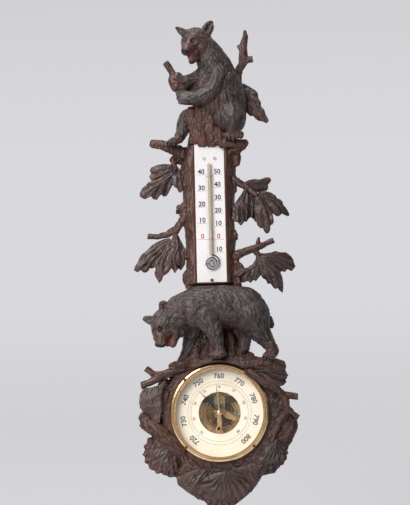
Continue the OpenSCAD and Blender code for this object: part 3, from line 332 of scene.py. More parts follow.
def streaks(points, flow, width, length, seed, samples=11):
    """A random field drawn out along the flow, with an even spread."""
    total = np.zeros(len(points))
    for shift in np.linspace(-0.5, 0.5, samples):
        total += lumps(points + flow * (length * shift) + seed * 17.3, width)
    return total / total.std()


def cuts(field, reach=1.3):
    """0 at the bottom of a V cut, 1 on the ridge between cuts."""
    return np.minimum(np.abs(field) / reach, 1.0)


# %% [markdown]
# ## Clay, skin and gouge
#
# A figure starts as balls joined by hulls, which is how a carver blocks out a limb. All the forms
# are fused into one skin by a voxel remesh and softened. Then strokes push the skin in or out along
# its normals, as a gouge or a sculpting brush does. Metaballs would fuse too, but they swell where
# they meet, while a hull keeps the width that was measured.

# %% Blocking out


def new_mesh(shape, name):
    """The bmesh as a mesh, with the bmesh freed."""
    mesh = bpy.data.meshes.new(name)
    shape.to_mesh(mesh)
    shape.free()
    return mesh


def limb(shape, balls, detail=2):
    """Adds the hull of each two neighbouring balls (x, y, z, radius) to the shape."""
    for pair in zip(balls, balls[1:]):
        link = bmesh.new()
        for x, y, z, radius in pair:
            bmesh.ops.create_icosphere(
                link, subdivisions=detail, radius=radius, matrix=Matrix.Translation((x, y, z))
            )
        bmesh.ops.delete(link, geom=link.edges[:], context="EDGES_FACES")
        hull = bmesh.ops.convex_hull(link, input=link.verts[:])
        inside = {v for v in hull["geom_interior"] if isinstance(v, bmesh.types.BMVert)}
        bmesh.ops.delete(link, geom=list(inside), context="VERTS")
        bmesh.ops.recalc_face_normals(link, faces=link.faces[:])
        mesh = new_mesh(link, "link")
        shape.from_mesh(mesh)
        bpy.data.meshes.remove(mesh)


def fuse(shape, voxel, softening):
    """Melts overlapping forms into one closed skin with faces of the voxel's size."""
    clay = bpy.data.objects.new("clay", new_mesh(shape, "clay"))
    bpy.context.scene.collection.objects.link(clay)
    melt = clay.modifiers.new("melt", "REMESH")
    melt.mode = "VOXEL"
    melt.voxel_size = voxel
    soften = clay.modifiers.new("soften", "SMOOTH")
    soften.factor = 0.5
    soften.iterations = softening
    ready = clay.evaluated_get(bpy.context.evaluated_depsgraph_get())
    skin = bpy.data.meshes.new_from_object(ready)
    bpy.data.objects.remove(clay)
    return skin


# %% Strokes and stored values


def read_points(mesh):
    """Points and normals of a mesh as two tables."""
    points = np.empty(len(mesh.vertices) * 3)
    normals = np.empty(len(mesh.vertices) * 3)
    mesh.vertices.foreach_get("co", points)
    mesh.vertices.foreach_get("normal", normals)
    return points.reshape(-1, 3), normals.reshape(-1, 3)


def write_points(mesh, points):
    """Moves the mesh's points, and renews its normals."""
    mesh.vertices.foreach_set("co", np.asarray(points, dtype=np.float32).ravel())
    mesh.update()


def nearness(points, path, width):
    """1 on a path, falling smoothly to 0 at the given width from it."""
    path = np.array(path, dtype=float).reshape(-1, 3)
    nearest = np.full(len(points), np.inf)
    for start, end in zip(path, path[1:] if len(path) > 1 else path):
        along = end - start
        share = np.clip((points - start) @ along / max(along @ along, 1e-9), 0, 1)
        gap = np.linalg.norm(points - start - share[:, None] * along, axis=1)
        nearest = np.minimum(nearest, gap)
    return np.clip(1 - (nearest / width) ** 2, 0, 1) ** 2


def push(mesh, height):
    """Moves each point along its normal by its height, and gives the points as they were."""
    points, normals = read_points(mesh)
    write_points(mesh, points + normals * height[:, None])
    return points


def gouge(mesh, strokes):
    """Each stroke (path, width, height) raises the skin, or cuts it where the height is negative."""
    for path, width, height in strokes:
        points, _ = read_points(mesh)
        push(mesh, nearness(points, path, width) * height)


def along_skin(flow, normals):
    """The flow laid down on the skin, as unit vectors."""
    flow = flow - normals * (flow * normals).sum(axis=1)[:, None]
    return flow / np.maximum(np.linalg.norm(flow, axis=1), 1e-9)[:, None]


def combed(points, normals, arrows):
    """The direction in which hair lies, from a few arrows (x, y, z, dx, dy, dz) near each point."""
    arrows = np.array(arrows, dtype=float)
    flow = np.zeros_like(points)
    for arrow in arrows:
        direction = arrow[3:] / np.linalg.norm(arrow[3:])
        gap = np.linalg.norm(points - arrow[:3], axis=1)
        flow += direction / (gap[:, None] + 4) ** 3  # nearer arrows count much more
    return along_skin(flow, normals)


def keep_value(mesh, name, values):
    """Stores one number for each point, for the material to read."""
    layer = mesh.attributes.get(name) or mesh.attributes.new(name, "FLOAT", "POINT")
    layer.data.foreach_set("value", np.clip(values, 0, 1).astype(np.float32))


def as_piece(mesh, name, material, body="root", replaced=()):
    """Puts a mesh drawn in millimetres in its place, as a named piece that rides on a body."""
    mesh.name = name
    mesh.transform(TO_SCENE)
    mesh.materials.clear()
    mesh.materials.append(material)
    mesh.shade_smooth()
    piece = bpy.data.objects.new(name, mesh)
    bpy.context.scene.collection.objects.link(piece)
    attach(piece, body)
    if replaced:
        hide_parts(*replaced)
    print(name, "faces:", len(mesh.polygons))
    return piece


# %% [markdown]
# ## Stained and waxed lime wood
#
# The carving is lime wood, stained dark brown and waxed. Its colour follows a value that each carving
# stores, from 0 in a cut to 1 on a ridge. Dark in the cuts is partly stain that sank in and partly
# painted shade, and pale on the ridges is partly worn stain and partly a painted satin highlight. A
# second value marks the warmer reddish places. Grain is drawn as a fine stretched noise.
# The Pointiness output could find the ridges too, but it changes with the mesh, and a stored value
# says just where the gouge went.

# %% Wood materials


def stained_wood(name, deep, ridge, warm, roughness, wax, grain=(1, 1, 1)):
    """Stained wood whose colour follows the stored values of the carving."""
    material, tree, output = new_material(name)
    place = put(tree, "TexCoord")
    stretched = put(tree, "Mapping", sockets={"Vector": place.outputs["Object"], "Scale": grain})
    # The grain is 1.4 mm apart, coarser than real lime wood so that it shows, and the patches where
    # the stain took better are 30 mm across.
    fine = put(tree, "TexNoise", sockets={"Vector": stretched.outputs[0], "Scale": 700, "Detail": 4})
    patches = put(tree, "TexNoise", sockets={"Vector": place.outputs["Object"], "Scale": 34, "Detail": 3})
    on_ridge = put(tree, "Attribute", {"attribute_name": "ridge"})
    is_warm = put(tree, "Attribute", {"attribute_name": "warm"})
    lift = put(tree, "MapRange", sockets={0: fine.outputs[0], 1: 0.3, 2: 0.7, 3: -0.16, 4: 0.16})
    lift_more = put(tree, "MapRange", sockets={0: patches.outputs[0], 1: 0.35, 2: 0.65, 3: -0.14, 4: 0.14})
    height = put(tree, "Math", {"operation": "ADD"}, {0: on_ridge.outputs["Fac"], 1: lift.outputs[0]})
    worn = put(tree, "Math", {"operation": "ADD", "use_clamp": True},
               {0: height.outputs[0], 1: lift_more.outputs[0]})
    # Deep colour in the cuts and ridge colour on the crests: stain, with painted shade in the cuts and a
    # painted highlight on the ridges.
    stain = put(tree, "Mix", {"data_type": "RGBA"}, {0: worn.outputs[0], 6: colour(deep), 7: colour(ridge)})
    red = put(tree, "Mix", {"data_type": "RGBA"},
              {0: is_warm.outputs["Fac"], 6: stain.outputs[2], 7: colour(warm)})
    # Painted shade and highlight: in the warm places the colour is darkened in the cuts and lightened on
    # the ridges.
    shade = put(tree, "MapRange", sockets={0: worn.outputs[0], 3: 0.45, 4: 1.15})
    tint = put(tree, "Mix", {"data_type": "RGBA", "blend_type": "MULTIPLY"},
               {0: is_warm.outputs["Fac"], 6: red.outputs[2], 7: shade.outputs[0]})
    # Mouth and nose were painted over the stain. The black round each eye is painted shade in its socket.
    is_red = put(tree, "Attribute", {"attribute_name": "red"})
    mouth = put(tree, "Mix", {"data_type": "RGBA"},
                {0: is_red.outputs["Fac"], 6: tint.outputs[2], 7: colour("#741C15")})
    is_black_or_socket_shade = put(tree, "Attribute", {"attribute_name": "black"})
    painted = put(tree, "Mix", {"data_type": "RGBA"},
                  {0: is_black_or_socket_shade.outputs["Fac"], 6: mouth.outputs[2], 7: colour("#0C0A0A")})
    # Handling polishes the ridges, and wax and dust stay dull in the cuts.
    polish = put(tree, "MapRange", sockets={0: worn.outputs[0], 3: roughness + 0.2, 4: roughness - 0.06})
    bump = put(tree, "Bump", sockets={"Height": fine.outputs[0], "Strength": 0.25, "Distance": 0.0004})
    surface = put(tree, "BsdfPrincipled", sockets={
        "Base Color": painted.outputs[2],
        "Roughness": polish.outputs[0],
        "Specular IOR Level": 0.32,
        "Coat Weight": wax,
        "Coat Roughness": 0.34,
        "Normal": bump.outputs[0],
    })
    tree.links.new(surface.outputs[0], output.inputs["Surface"])
    return material


# The bears are stained black over brown, the trunk brown with its grain running upright, and the
# leaves are the most waxed, so they shine at their edges.
bear_wood = stained_wood("black_stained_lime_wood_fur", "#0E0A09", "#5A4C49", "#573028", 0.45, 0.2)
trunk_wood = stained_wood("brown_stained_lime_wood_bark", "#140B09", "#60453D", "#623C30", 0.44, 0.2,
                          (1, 1, 0.12))
leaf_wood = stained_wood("waxed_lime_wood_foliage", "#0E0706", "#5B443E", "#58362B", 0.34, 0.36)
print("woods:", bear_wood.name, trunk_wood.name, leaf_wood.name)

# %% [markdown]
# ## The bear on top
#
# A bear sits on a stump, leans to the left and holds a stick in both paws. Each limb, the muzzle,
# the ears and the toes are chains of balls at measured places. Brow, eye sockets, nostrils, mouth
# and ear cups are strokes, and the fur follows arrows combed from the head to the rump. Four stored
# values paint the skin: ridges, paler where the skin is bare, with painted highlight on them and
# painted shade in the cuts; warm brown muzzle and belly; red mouth; black nose, with painted shade
# round the eyes. A body can also be pulled out of a subdivided box, but a chain of balls can be
# measured in a picture, limb by limb, and is easy to correct.

# %% Seated bear: block
SKIN_MM = 0.9  # fine enough for a tuft of fur three millimetres wide


def row(first, last, count):
    """Evenly spaced places from the first to the last."""
    return [Vector(first).lerp(Vector(last), step / (count - 1)) for step in range(count)]


def toes(shape, first, last, count, radius):
    """Adds a row of round toes to a paw."""
    for place in row(first, last, count):
        bmesh.ops.create_icosphere(shape, subdivisions=2, radius=radius, matrix=Matrix.Translation(place))


sitting = bmesh.new()
limb(sitting, [(19, 392, 26, 26), (18, 415, 27, 28), (12, 438, 29, 26.5), (6, 458, 31, 22.5),
               (-4, 478, 34, 19), (-20, 494, 37, 19.5)], 3)
for chain in (
    [(-20, 494, 37, 19.5), (-26, 487, 47, 13), (-30, 481, 55, 9), (-32.5, 477, 60, 6.4)],
    [(-17, 477, 43, 10), (-22, 469.5, 50, 6.4), (-25.5, 464.5, 55, 4.4)],
    [(-20, 476, 50, 7), (-26.5, 471, 55.5, 4.6)],
    [(-31, 503, 40, 7.5), (-39, 508.5, 40, 5), (-45, 513, 40, 2.4)],
    [(-7, 506, 35, 9), (-2, 514.5, 34, 7.4), (0, 519, 33, 4.8)],
    [(-4, 450, 32, 16), (-22, 443, 38, 9.4), (-37, 438, 43, 8.8), (-46, 438, 47, 8.8)],
    [(-45, 444, 47, 8), (-50, 440, 49, 7.6), (-46, 432, 50, 8), (-38, 428, 47, 7.6)],
    [(-32, 430, 32, 8), (-14, 432, 30, 13)],
    [(-6, 430, 34, 21), (4, 412, 34, 22)],
    [(10, 448, 42, 15), (3, 429, 50, 13.5),
     (-8, 417, 54, 11.6), (-24, 414.5, 56, 9.8), (-36, 415, 54, 9.6), (-39, 417, 53, 8)],
    [(22, 400, 36, 20), (27, 389, 44, 17.6), (27, 378, 46, 12), (26, 369, 48, 7.5)],
    [(18, 364, 52, 4.8), (37, 365, 50, 4.8), (27, 367, 48, 6)],
    [(-14, 402, 16, 14), (-33, 395, 23, 11.5), (-38, 384, 28, 10.4), (-41, 373, 33, 8.6),
     (-45, 364, 38, 7)],
    [(-45, 363, 41, 6.4), (-56, 358, 44, 5)],
):
    limb(sitting, chain)
for paw in (
    ((17, 361, 57), (38, 361.5, 55), 5, 3.2),
    ((-60, 357, 45), (-50, 356.5, 49), 3, 2.6),
    ((-44.5, 421, 58), (-41, 408.5, 58), 4, 3.0),
    ((-53, 446, 51), (-46, 430, 56), 4, 2.8),
):
    toes(sitting, *paw)
sitting_skin = fuse(sitting, SKIN_MM, 6)
print("seated bear skin:", len(sitting_skin.polygons), "faces")

# %% Seated bear: comb
sitting_comb = [
    (-30, 478, 58, 0.4, 0.5, -0.6), (-22, 495, 50, 0.3, 1, -0.2), (-12, 506, 40, 0.8, 0.4, -0.4),
    (0, 488, 50, 0.6, -0.8, 0), (5, 470, 50, 0.5, -1, 0), (24, 460, 40, 0.5, -1, 0),
    (30, 430, 40, 0.2, -1, 0), (10, 425, 52, 0.4, -1, 0.1), (-10, 440, 50, -0.3, -1, 0),
    (2, 440, 60, -0.5, -1, 0), (-20, 420, 62, -1, -0.35, 0), (-40, 416, 56, -1, 0, 0),
    (-25, 445, 44, -1, -0.3, 0), (-45, 440, 50, -1, 0, 0), (38, 400, 40, 0.1, -1, 0),
    (25, 395, 60, -0.1, -1, 0), (22, 376, 56, -0.2, -1, 0), (-34, 395, 38, -0.3, -1, 0.1),
    (-40, 374, 44, -0.4, -1, 0), (15, 410, 5, 0, -1, 0), (-5, 490, 20, 0.4, -1, 0),
]
print("arrows for the fur:", len(sitting_comb))


def fur(mesh, comb, tuft, strand):
    """Works out fur for a skin: the points, how far each is to move along its normal, and its ridge value.
    Tuft and strand are each (width, length, height) in millimetres.
    """
    points, normals = read_points(mesh)
    flow = combed(points, normals, comb)
    wander = np.stack([lumps(points + 31 * k, 14) for k in range(3)], axis=1)
    flow = along_skin(flow + 0.6 * wander, normals)
    big = cuts(streaks(points, flow, *tuft[:2], 1))
    small = cuts(streaks(points, flow, *strand[:2], 2))
    waves = lumps(points, 22)
    patchy = 0.75 + 0.35 * lumps(points + 70, 12)
    height = (tuft[2] * (big - 0.7) + strand[2] * (small - 0.7)) * patchy + 0.6 * waves
    return points, height, 0.5 * big + 0.5 * small


def paint_spots(points, spots):
    """How strongly each point is painted by spots (x, y, z, radius, strength)."""
    total = np.zeros(len(points))
    for x, y, z, radius, strength in spots:
        total = np.maximum(total, strength * nearness(points, [(x, y, z)], radius))
    return total


# %% Seated bear: carve
SITTING_MOUTH = [(-33, 471, 61), (-29, 469.5, 60), (-24, 470.5, 57), (-17, 476, 51)]
gouge(sitting_skin, [
    ([(-35, 499, 50), (-28, 500, 55), (-17, 498, 56)], 5.5, 1.5),
    ([(-22.5, 491, 58)], 5.5, -2.6),
    ([(-33, 492, 54)], 4.5, -2.4),
    ([(-28, 492, 58), (-30, 485, 60)], 4, 0.8),
    ([(-12, 482, 50), (-6, 490, 47)], 8, 1.6),
    ([(-35, 478, 63), (-31, 476.5, 65)], 3.4, 1.3),
    ([(-33.5, 475.5, 67)], 1.5, -1.2),
    ([(-36, 476, 64)], 1.5, -1.2),
    (SITTING_MOUTH, 2.4, -2.6),
    ([(-26, 466, 58), (-20, 469, 53)], 2.0, 0.9),
    ([(-43, 512, 44), (-36, 506, 46)], 3.6, -2.6),
    ([(0, 517, 39), (-3, 509, 43)], 5.0, -4.2),
    ([(-10, 500, 48), (-4, 495, 48), (2, 502, 42)], 4, -1.5),
    ([(6, 455, 54), (2, 442, 63), (-8, 432, 66)], 6, 1.2),
    ([(14, 424, 56), (4, 410, 58), (-10, 406, 54)], 4, -2.4),
    ([(12, 402, 55), (9, 390, 56), (12, 377, 54)], 4, -2.4),
    ([(-38, 407, 40), (-34, 385, 42)], 7, 0.8),
    ([(-48, 444, 58), (-44, 438, 60)], 1.6, -1.4),
    ([(-50, 436, 58), (-44, 432, 60)], 1.6, -1.4),
])
points, height, ridge = fur(sitting_skin, sitting_comb, (2.8, 9, 1.25), (1.5, 5, 0.5))
bare = np.clip(
    nearness(points, [(-32, 478, 62), (-27, 487, 56)], 13)
    + nearness(points, [(-24, 468, 54)], 8) + nearness(points, [(-23, 492, 56)], 6), 0, 0.9)
push(sitting_skin, height * (1 - bare))
keep_value(sitting_skin, "ridge", ridge + 0.25 * bare)
keep_value(sitting_skin, "warm", paint_spots(points, [
    (-29, 483, 60, 15, 1.0), (-27, 496, 55, 12, 0.9), (-20, 482, 54, 12, 0.9), (-24, 468, 54, 10, 1.0),
    (-10, 436, 50, 12, 0.6), (2, 406, 58, 18, 0.9), (-48, 436, 56, 13, 1.0), (-30, 428, 52, 10, 0.8),
    (27, 362, 52, 16, 1.0), (-50, 360, 46, 14, 1.0), (0, 516, 40, 7, 0.7), (-40, 509, 45, 6, 0.6),
    (-14, 494, 54, 13, 0.6), (-12, 478, 52, 12, 0.6),
]))
keep_value(sitting_skin, "red", nearness(points, SITTING_MOUTH, 3.4))
# Black: the nose, and painted shade in the eye sockets round the beads.
keep_value(sitting_skin, "black", paint_spots(points, [
    (-34.5, 477, 65, 5.6, 1.6), (-31.5, 475, 66, 4.4, 1.2), (-22.5, 491, 58, 4.2, 0.9),
    (-33, 492, 54, 4.4, 1.4), (-22.5, 491, 57, 5.2, 1.4),
]))
as_piece(sitting_skin, "seated_bear_fur", bear_wood, replaced=["seated_bear"])

# %% [markdown]
# ## The walking bear
#
# The lower bear walks to the left over the rocks with its head down and its mouth open. It is made
# in the same way, from its own measured chains. Mirroring one half would save work, but each of its
# four legs stands differently, so nothing is mirrored.

# %% Walking bear: block
walking = bmesh.new()
limb(walking, [(44, 126, 41, 25.5), (35, 137, 38, 28), (6, 139, 38, 28.5), (-22, 138, 40, 28.5),
               (-45, 132, 45, 25), (-67, 117, 55, 20)], 3)
for chain in (
    [(-67, 117, 56, 20), (-70.5, 109, 61, 15.5), (-72, 101, 66, 11.4), (-72.5, 95, 69, 8.8),
     (-73, 91.5, 71, 7)],
    [(-77, 89.5, 72.5, 4), (-69, 89.5, 73.5, 4.2)],
    [(-63, 103, 61, 8.5), (-65, 95, 64, 6), (-64, 90, 65, 4)],
    [(-58, 107, 58, 12), (-56.5, 98, 62, 7), (-57, 91, 64, 4.8), (-58, 88, 65, 3.8)],
    [(-60, 110, 56, 14), (-50, 108, 53, 10.5), (-45, 112, 48, 10)],
    [(-79, 120, 54, 7.6), (-87, 122.5, 51, 5.8), (-94, 124.8, 49, 3.7)],
    [(-66, 133, 57, 9), (-69.5, 141.5, 59, 6.6)],
    [(-60, 136, 57, 7), (-62, 142, 57, 4)],
    [(66, 122, 36, 6), (71, 113, 34, 4)],
    [(-14, 132, 48, 22), (-6, 113, 55, 14.5), (-2.5, 101, 57, 11), (1.5, 86, 58, 7.2),
     (2.5, 78, 58, 7.6)],
    [(5, 77, 58, 6.8), (-6, 75, 61, 5)],
    [(-32, 119, 32, 16), (-35, 104, 31, 11), (-40, 84, 32, 7.8), (-44, 74, 34, 7),
     (-49, 67, 37, 6)],
    [(45, 126, 46, 24), (55, 105, 49, 15), (64, 92, 49, 10.4), (69.5, 84, 50, 8.4),
     (72.5, 78, 50, 7.4)],
    [(72, 76, 50, 7), (64, 73, 55, 5)],
    [(34, 114, 30, 16), (35, 101, 28, 10.6), (34.5, 92, 28, 8.6), (34, 84, 29, 7.8),
     (31, 80, 31, 6.6), (24, 78, 34, 5)],
):
    limb(walking, chain)
for paw in (
    ((-10, 73.5, 62), (4, 73, 66), 4, 2.9),
    ((60, 71.5, 57), (74, 71.5, 58), 5, 2.8),
    ((-53, 65, 39), (-44, 64, 43), 4, 2.7),
    ((20, 76.5, 36), (30, 76, 38), 4, 2.5),
):
    toes(walking, *paw)
walking_skin = fuse(walking, SKIN_MM, 6)
print("walking bear skin:", len(walking_skin.polygons), "faces")

# %% Walking bear: carve
walking_comb = [
    (-76, 95, 75, 0.3, 0.9, -0.4), (-70, 110, 74, 0.2, 1, -0.3), (-64, 128, 66, 0.8, 0.4, -0.4),
    (-50, 112, 66, 0.8, -0.7, 0), (-45, 138, 66, 0.9, -0.3, 0), (-20, 163, 60, 1, 0, 0),
    (-18, 143, 68, 0.5, -0.9, 0), (-8, 116, 70, 0.3, -1, 0), (0, 93, 66, 0, -1, 0),
    (12, 148, 68, 0.6, -0.7, 0), (15, 128, 64, 0.1, -1, 0), (40, 153, 64, 0.9, -0.5, 0),
    (48, 128, 70, 0.4, -0.9, 0), (60, 118, 62, 0.3, -1, 0), (62, 96, 60, 0.4, -1, 0),
    (-36, 103, 44, -0.3, -1, 0), (-48, 76, 42, -0.6, -0.8, 0), (34, 98, 40, 0, -1, 0),
    (0, 173, 40, 1, 0, 0),
]
WALKING_MOUTH = [(-66, 88, 72), (-62.5, 94, 71), (-60.5, 100, 69)]
WALKER_BACK = 16.2  # the bear's far side is flat, just in front of the board
gouge(walking_skin, [
    ([(-82, 113, 68), (-76, 115, 74), (-67, 114, 77)], 5.5, 1.5),
    ([(-73, 108.5, 76)], 5.6, -3.4),
    ([(-83, 108, 67)], 4.5, -2.2),
    ([(-57, 106, 70), (-50, 114, 66)], 8, 1.6),
    ([(-79, 90, 74), (-74, 88, 77), (-69, 89, 76)], 3.2, 1.0),
    ([(-77, 89.5, 77)], 1.5, -1.2),
    ([(-73, 88, 79)], 1.5, -1.2),
    (WALKING_MOUTH, 3.2, -4.5),
    ([(-93, 124.5, 53), (-85, 122.5, 57)], 3.8, -2.6),
    ([(-68, 139.5, 66), (-66, 136, 67)], 4.6, -3.6),
    ([(-58, 139, 64)], 3.2, -1.8),
    ([(-40, 148, 70), (-36, 128, 72), (-28, 110, 66)], 8, -1.8),
    ([(-16, 112, 66), (-10, 100, 64)], 5, -1.4),
    ([(20, 150, 68), (27, 128, 70), (36, 108, 66)], 8, -2.2),
    ([(40, 110, 64), (46, 98, 60)], 4, 1.0),
])
points, height, ridge = fur(walking_skin, walking_comb, (2.9, 9, 1.3), (1.5, 5, 0.5))
bare = np.clip(
    nearness(points, [(-74, 92, 74), (-73, 102, 72)], 12)
    + nearness(points, [(-58, 92, 66)], 8) + nearness(points, [(-73, 108.5, 76)], 6), 0, 0.9)
push(walking_skin, height * (1 - bare))
moved, _ = read_points(walking_skin)
moved[:, 2] = np.maximum(moved[:, 2], WALKER_BACK)
write_points(walking_skin, moved)
keep_value(walking_skin, "ridge", ridge + 0.25 * bare)
keep_value(walking_skin, "warm", paint_spots(points, [
    (-72, 98, 76, 14, 0.9), (-72, 108, 76, 12, 0.7), (-80, 110, 70, 10, 0.6), (-57, 96, 68, 12, 0.8),
    (-36, 112, 44, 12, 0.5), (34, 112, 44, 14, 0.6),
    (-69, 142, 64, 8, 0.8), (-2, 73, 63, 12, 0.7), (68, 73, 57, 15, 0.8), (-48, 67, 41, 13, 0.8),
    (27, 78, 36, 12, 0.8), (18, 112, 56, 13, 0.5), (2, 112, 56, 9, 0.5),
]))
keep_value(walking_skin, "red", np.maximum(nearness(points, WALKING_MOUTH, 4.6),
                                           nearness(points, [(-64, 88, 68), (-61, 97, 69)], 5.0)))
# Black: the nose, and painted shade in the eye sockets round the beads.
keep_value(walking_skin, "black", paint_spots(points, [
    (-78, 88, 75, 5.5, 1.6), (-73, 87, 77, 5.5, 1.6), (-68, 87, 76, 5.0, 1.5),
    (-73, 108.5, 75, 5.6, 1.5), (-83, 108, 67, 4.4, 1.3),
]))
as_piece(walking_skin, "walking_bear_fur", bear_wood, replaced=["walking_bear"])

# %% [markdown]
# ## Eyes and claws
#
# The eyes are dark glass beads pressed into the sockets, so each is a small ball that stands out of
# the skin by less than half. The claws are little tapered hooks of dark polished wood, in rows. Both
# could be painted on the skin, but only a round bead catches a highlight as the real one does.

# %% Beads and hooks
EYE_RADIUS = 2.3
EYE_REACH = 1.2  # the skin's height is read this near the middle of an eye
EYE_SHOWS = 1.0  # how far a bead stands out of its socket


def dark_bead(name):
    """A polished dark brown glass bead, almost black, with faint swirls 2 mm across."""
    material, tree, output = new_material(name)
    place = put(tree, "TexCoord")
    swirl = put(tree, "TexNoise", sockets={"Vector": place.outputs["Object"], "Scale": 500})
    tone = put(tree, "Mix", {"data_type": "RGBA"},
               {0: swirl.outputs[0], 6: colour("#080504"), 7: colour("#23140C")})
    surface = put(tree, "BsdfPrincipled", sockets={
        "Base Color": tone.outputs[2], "Roughness": 0.12, "Coat Weight": 0.4, "Coat Roughness": 0.04})
    tree.links.new(surface.outputs[0], output.inputs["Surface"])
    return material


bead_glass = dark_bead("dark_glass_bead")
for name, skin, places in (
    ("seated_bear_beads", sitting_skin, [(-22.5, 491), (-33, 492)]),
    ("walking_bear_beads", walking_skin, [(-73, 108.5), (-83, 108.5)]),
):
    beads = bmesh.new()
    for x, y in places:
        drawn = [TO_DRAWING @ vertex.co for vertex in skin.vertices]
        z = max(place.z for place in drawn if (place - Vector((x, y, 0))).xy.length < EYE_REACH)
        bmesh.ops.create_uvsphere(beads, u_segments=20, v_segments=14, radius=EYE_RADIUS,
                                  matrix=Matrix.Translation((x, y, z + EYE_SHOWS - EYE_RADIUS)))
    as_piece(new_mesh(beads, name), name, bead_glass,
             replaced=[name.replace("beads", "eyes")])

# %% Claws
claw_wood = stained_wood("polished_dark_claw_wood", "#0B0908", "#4A3E36", "#4A3E36", 0.3, 0.6)
for name, rows in (
    ("seated_bear_claws", [
        ((17, 360, 60), (37, 360.5, 58), 5, (0.2, -4.2, 3.0)),
        ((-60, 357, 48), (-50, 356, 53), 4, (-1.2, -3.4, 3.0)),
    ]),
    ("walking_bear_claws", [
        ((-11.5, 72, 64), (4, 71.5, 68), 4, (-1.8, -2.2, 2.4)),
        ((59, 70, 59), (74, 70, 61), 5, (-1.6, -2.4, 2.6)),
        ((-54.5, 63.5, 40), (-44, 62.5, 45), 4, (-2.4, -2.2, 1.8)),
        ((19, 75, 38), (30, 74.5, 40), 4, (-1.6, -1.8, 1.8)),
    ]),
):
    hooks = bmesh.new()
    for first, last, count, way in rows:
        for root in row(first, last, count):
            bow = root + Vector(way) * 0.6 + Vector((0, 0.7, 0.3))
            tip = root + Vector(way) * 1.2
            limb(hooks, [(*root, 1.8), (*bow, 1.4), (*tip, 0.5)], 1)
    mesh = new_mesh(hooks, name)
    keep_value(mesh, "ridge", np.full(len(mesh.vertices), 0.5))
    as_piece(mesh, name, claw_wood)

# %% [markdown]
# ## Trunk, stump and surround
#
# These three have complex outlines that the measured model already holds, so the carving starts
# from a merged copy of each solid, remeshed to an even skin. Bark runs up the trunk in long gouge
# cuts, and it is kept away from the smooth frame round the thermometer and from the barometer's seat.
# Bump in the material would be cheaper, but real cuts show in the outline and keep their own shadows.

# %% Bark on the trunk and the stump


def clay_from(node, voxel, softening, chains=()):
    """A merged copy of a measured solid and added chains of balls, in millimetres, as an even skin."""
    shape = bmesh.new()
    shape.from_mesh(nodes[node].data)
    bmesh.ops.remove_doubles(shape, verts=shape.verts[:], dist=1e-6)
    bmesh.ops.transform(shape, matrix=TO_DRAWING, verts=shape.verts[:])
    for chain in chains:
        limb(shape, chain)
    return fuse(shape, voxel, softening)


def inside_box(points, low, high, margin):
    """1 inside a box seen from the front, falling to 0 at the margin outside it."""
    past = np.maximum(np.maximum(low - points[:, :2], points[:, :2] - high), 0)
    return np.clip(1 - np.linalg.norm(past, axis=1) / margin, 0, 1)


def bark_cuts(points, normals, wander, size):
    """Two sizes of upright gouge cuts. Size is (width, length) of the large ones."""
    upward = np.tile([0.0, 1.0, 0.0], (len(points), 1))
    upward += wander * np.stack([lumps(points + 9 * k, 20) for k in range(3)], axis=1)
    upward = along_skin(upward, normals)
    return (cuts(streaks(points, upward, size[0], size[1], 3)),
            cuts(streaks(points, upward, size[0] / 2, size[1] / 2.4, 4)))


# %% Trunk
FRAME_WIDTH = 4.2  # the smooth wooden frame round the scale plate
BED_Z = 26  # in front of this, the trunk inside the frame is planed flat
trunk_skin = clay_from("trunk", 1.1, 3, [
    [(-34, 169, 22, 8), (26, 169, 22, 8)],
    [(-79, 357.5, 38, 5.4), (-66, 354, 38, 6), (-54, 350, 36, 6.6), (-43, 345, 30, 8)],
    [(-38, 271, 22, 6), (-47.5, 273, 24, 4.6)],
])
points, normals = read_points(trunk_skin)
bark, crust = bark_cuts(points, normals, 0.45, (3.6, 14))
low = np.array(plate_low[:2]) - FRAME_WIDTH
high = np.array(plate_high[:2]) + FRAME_WIDTH
framed = inside_box(points, low, high, 1.2) * (points[:, 2] > BED_Z)
behind = np.clip((14 - points[:, 2]) / 4, 0, 1)
free = (1 - framed) * (1 - behind)
push(trunk_skin, (1.5 * (bark - 0.7) + 0.8 * (crust - 0.6)) * free)
keep_value(trunk_skin, "ridge", np.where(framed > 0.5, 0.6, 0.5 * bark + 0.5 * crust))
keep_value(trunk_skin, "warm", np.maximum(0.8 * framed, 0.35 + 0.3 * lumps(points, 14)))
as_piece(trunk_skin, "trunk_bark", trunk_wood, replaced=["trunk"])

# %% Stump
stump_skin = clay_from("stump", 1.0, 4, [
    [(-22, 362, 32, 8), (-25, 382, 33, 8), (-27, 401, 34, 7.5)],
    [(-14, 360, 36, 9), (-14, 382, 37, 9.5), (-15, 401, 36, 9)],
    [(0, 360, 36, 9), (-3, 378, 38, 9.5), (-5, 393, 38, 9)],
    [(12, 358, 38, 8), (6, 372, 40, 7)],
    [(12, 354, 40, 5.6), (26, 355, 43, 6), (40, 354.5, 40, 6)],
])
points, normals = read_points(stump_skin)
bark, crust = bark_cuts(points, normals, 0.8, (3.4, 9))
front = np.clip((points[:, 2] - 12) / 4, 0, 1)
push(stump_skin, (1.6 * (bark - 0.7) + 0.9 * (crust - 0.6)) * front)
keep_value(stump_skin, "ridge", 0.5 * bark + 0.5 * crust + 0.1)
keep_value(stump_skin, "warm", 0.6 + 0.4 * lumps(points, 10))
as_piece(stump_skin, "stump_bark", trunk_wood, replaced=["stump"])

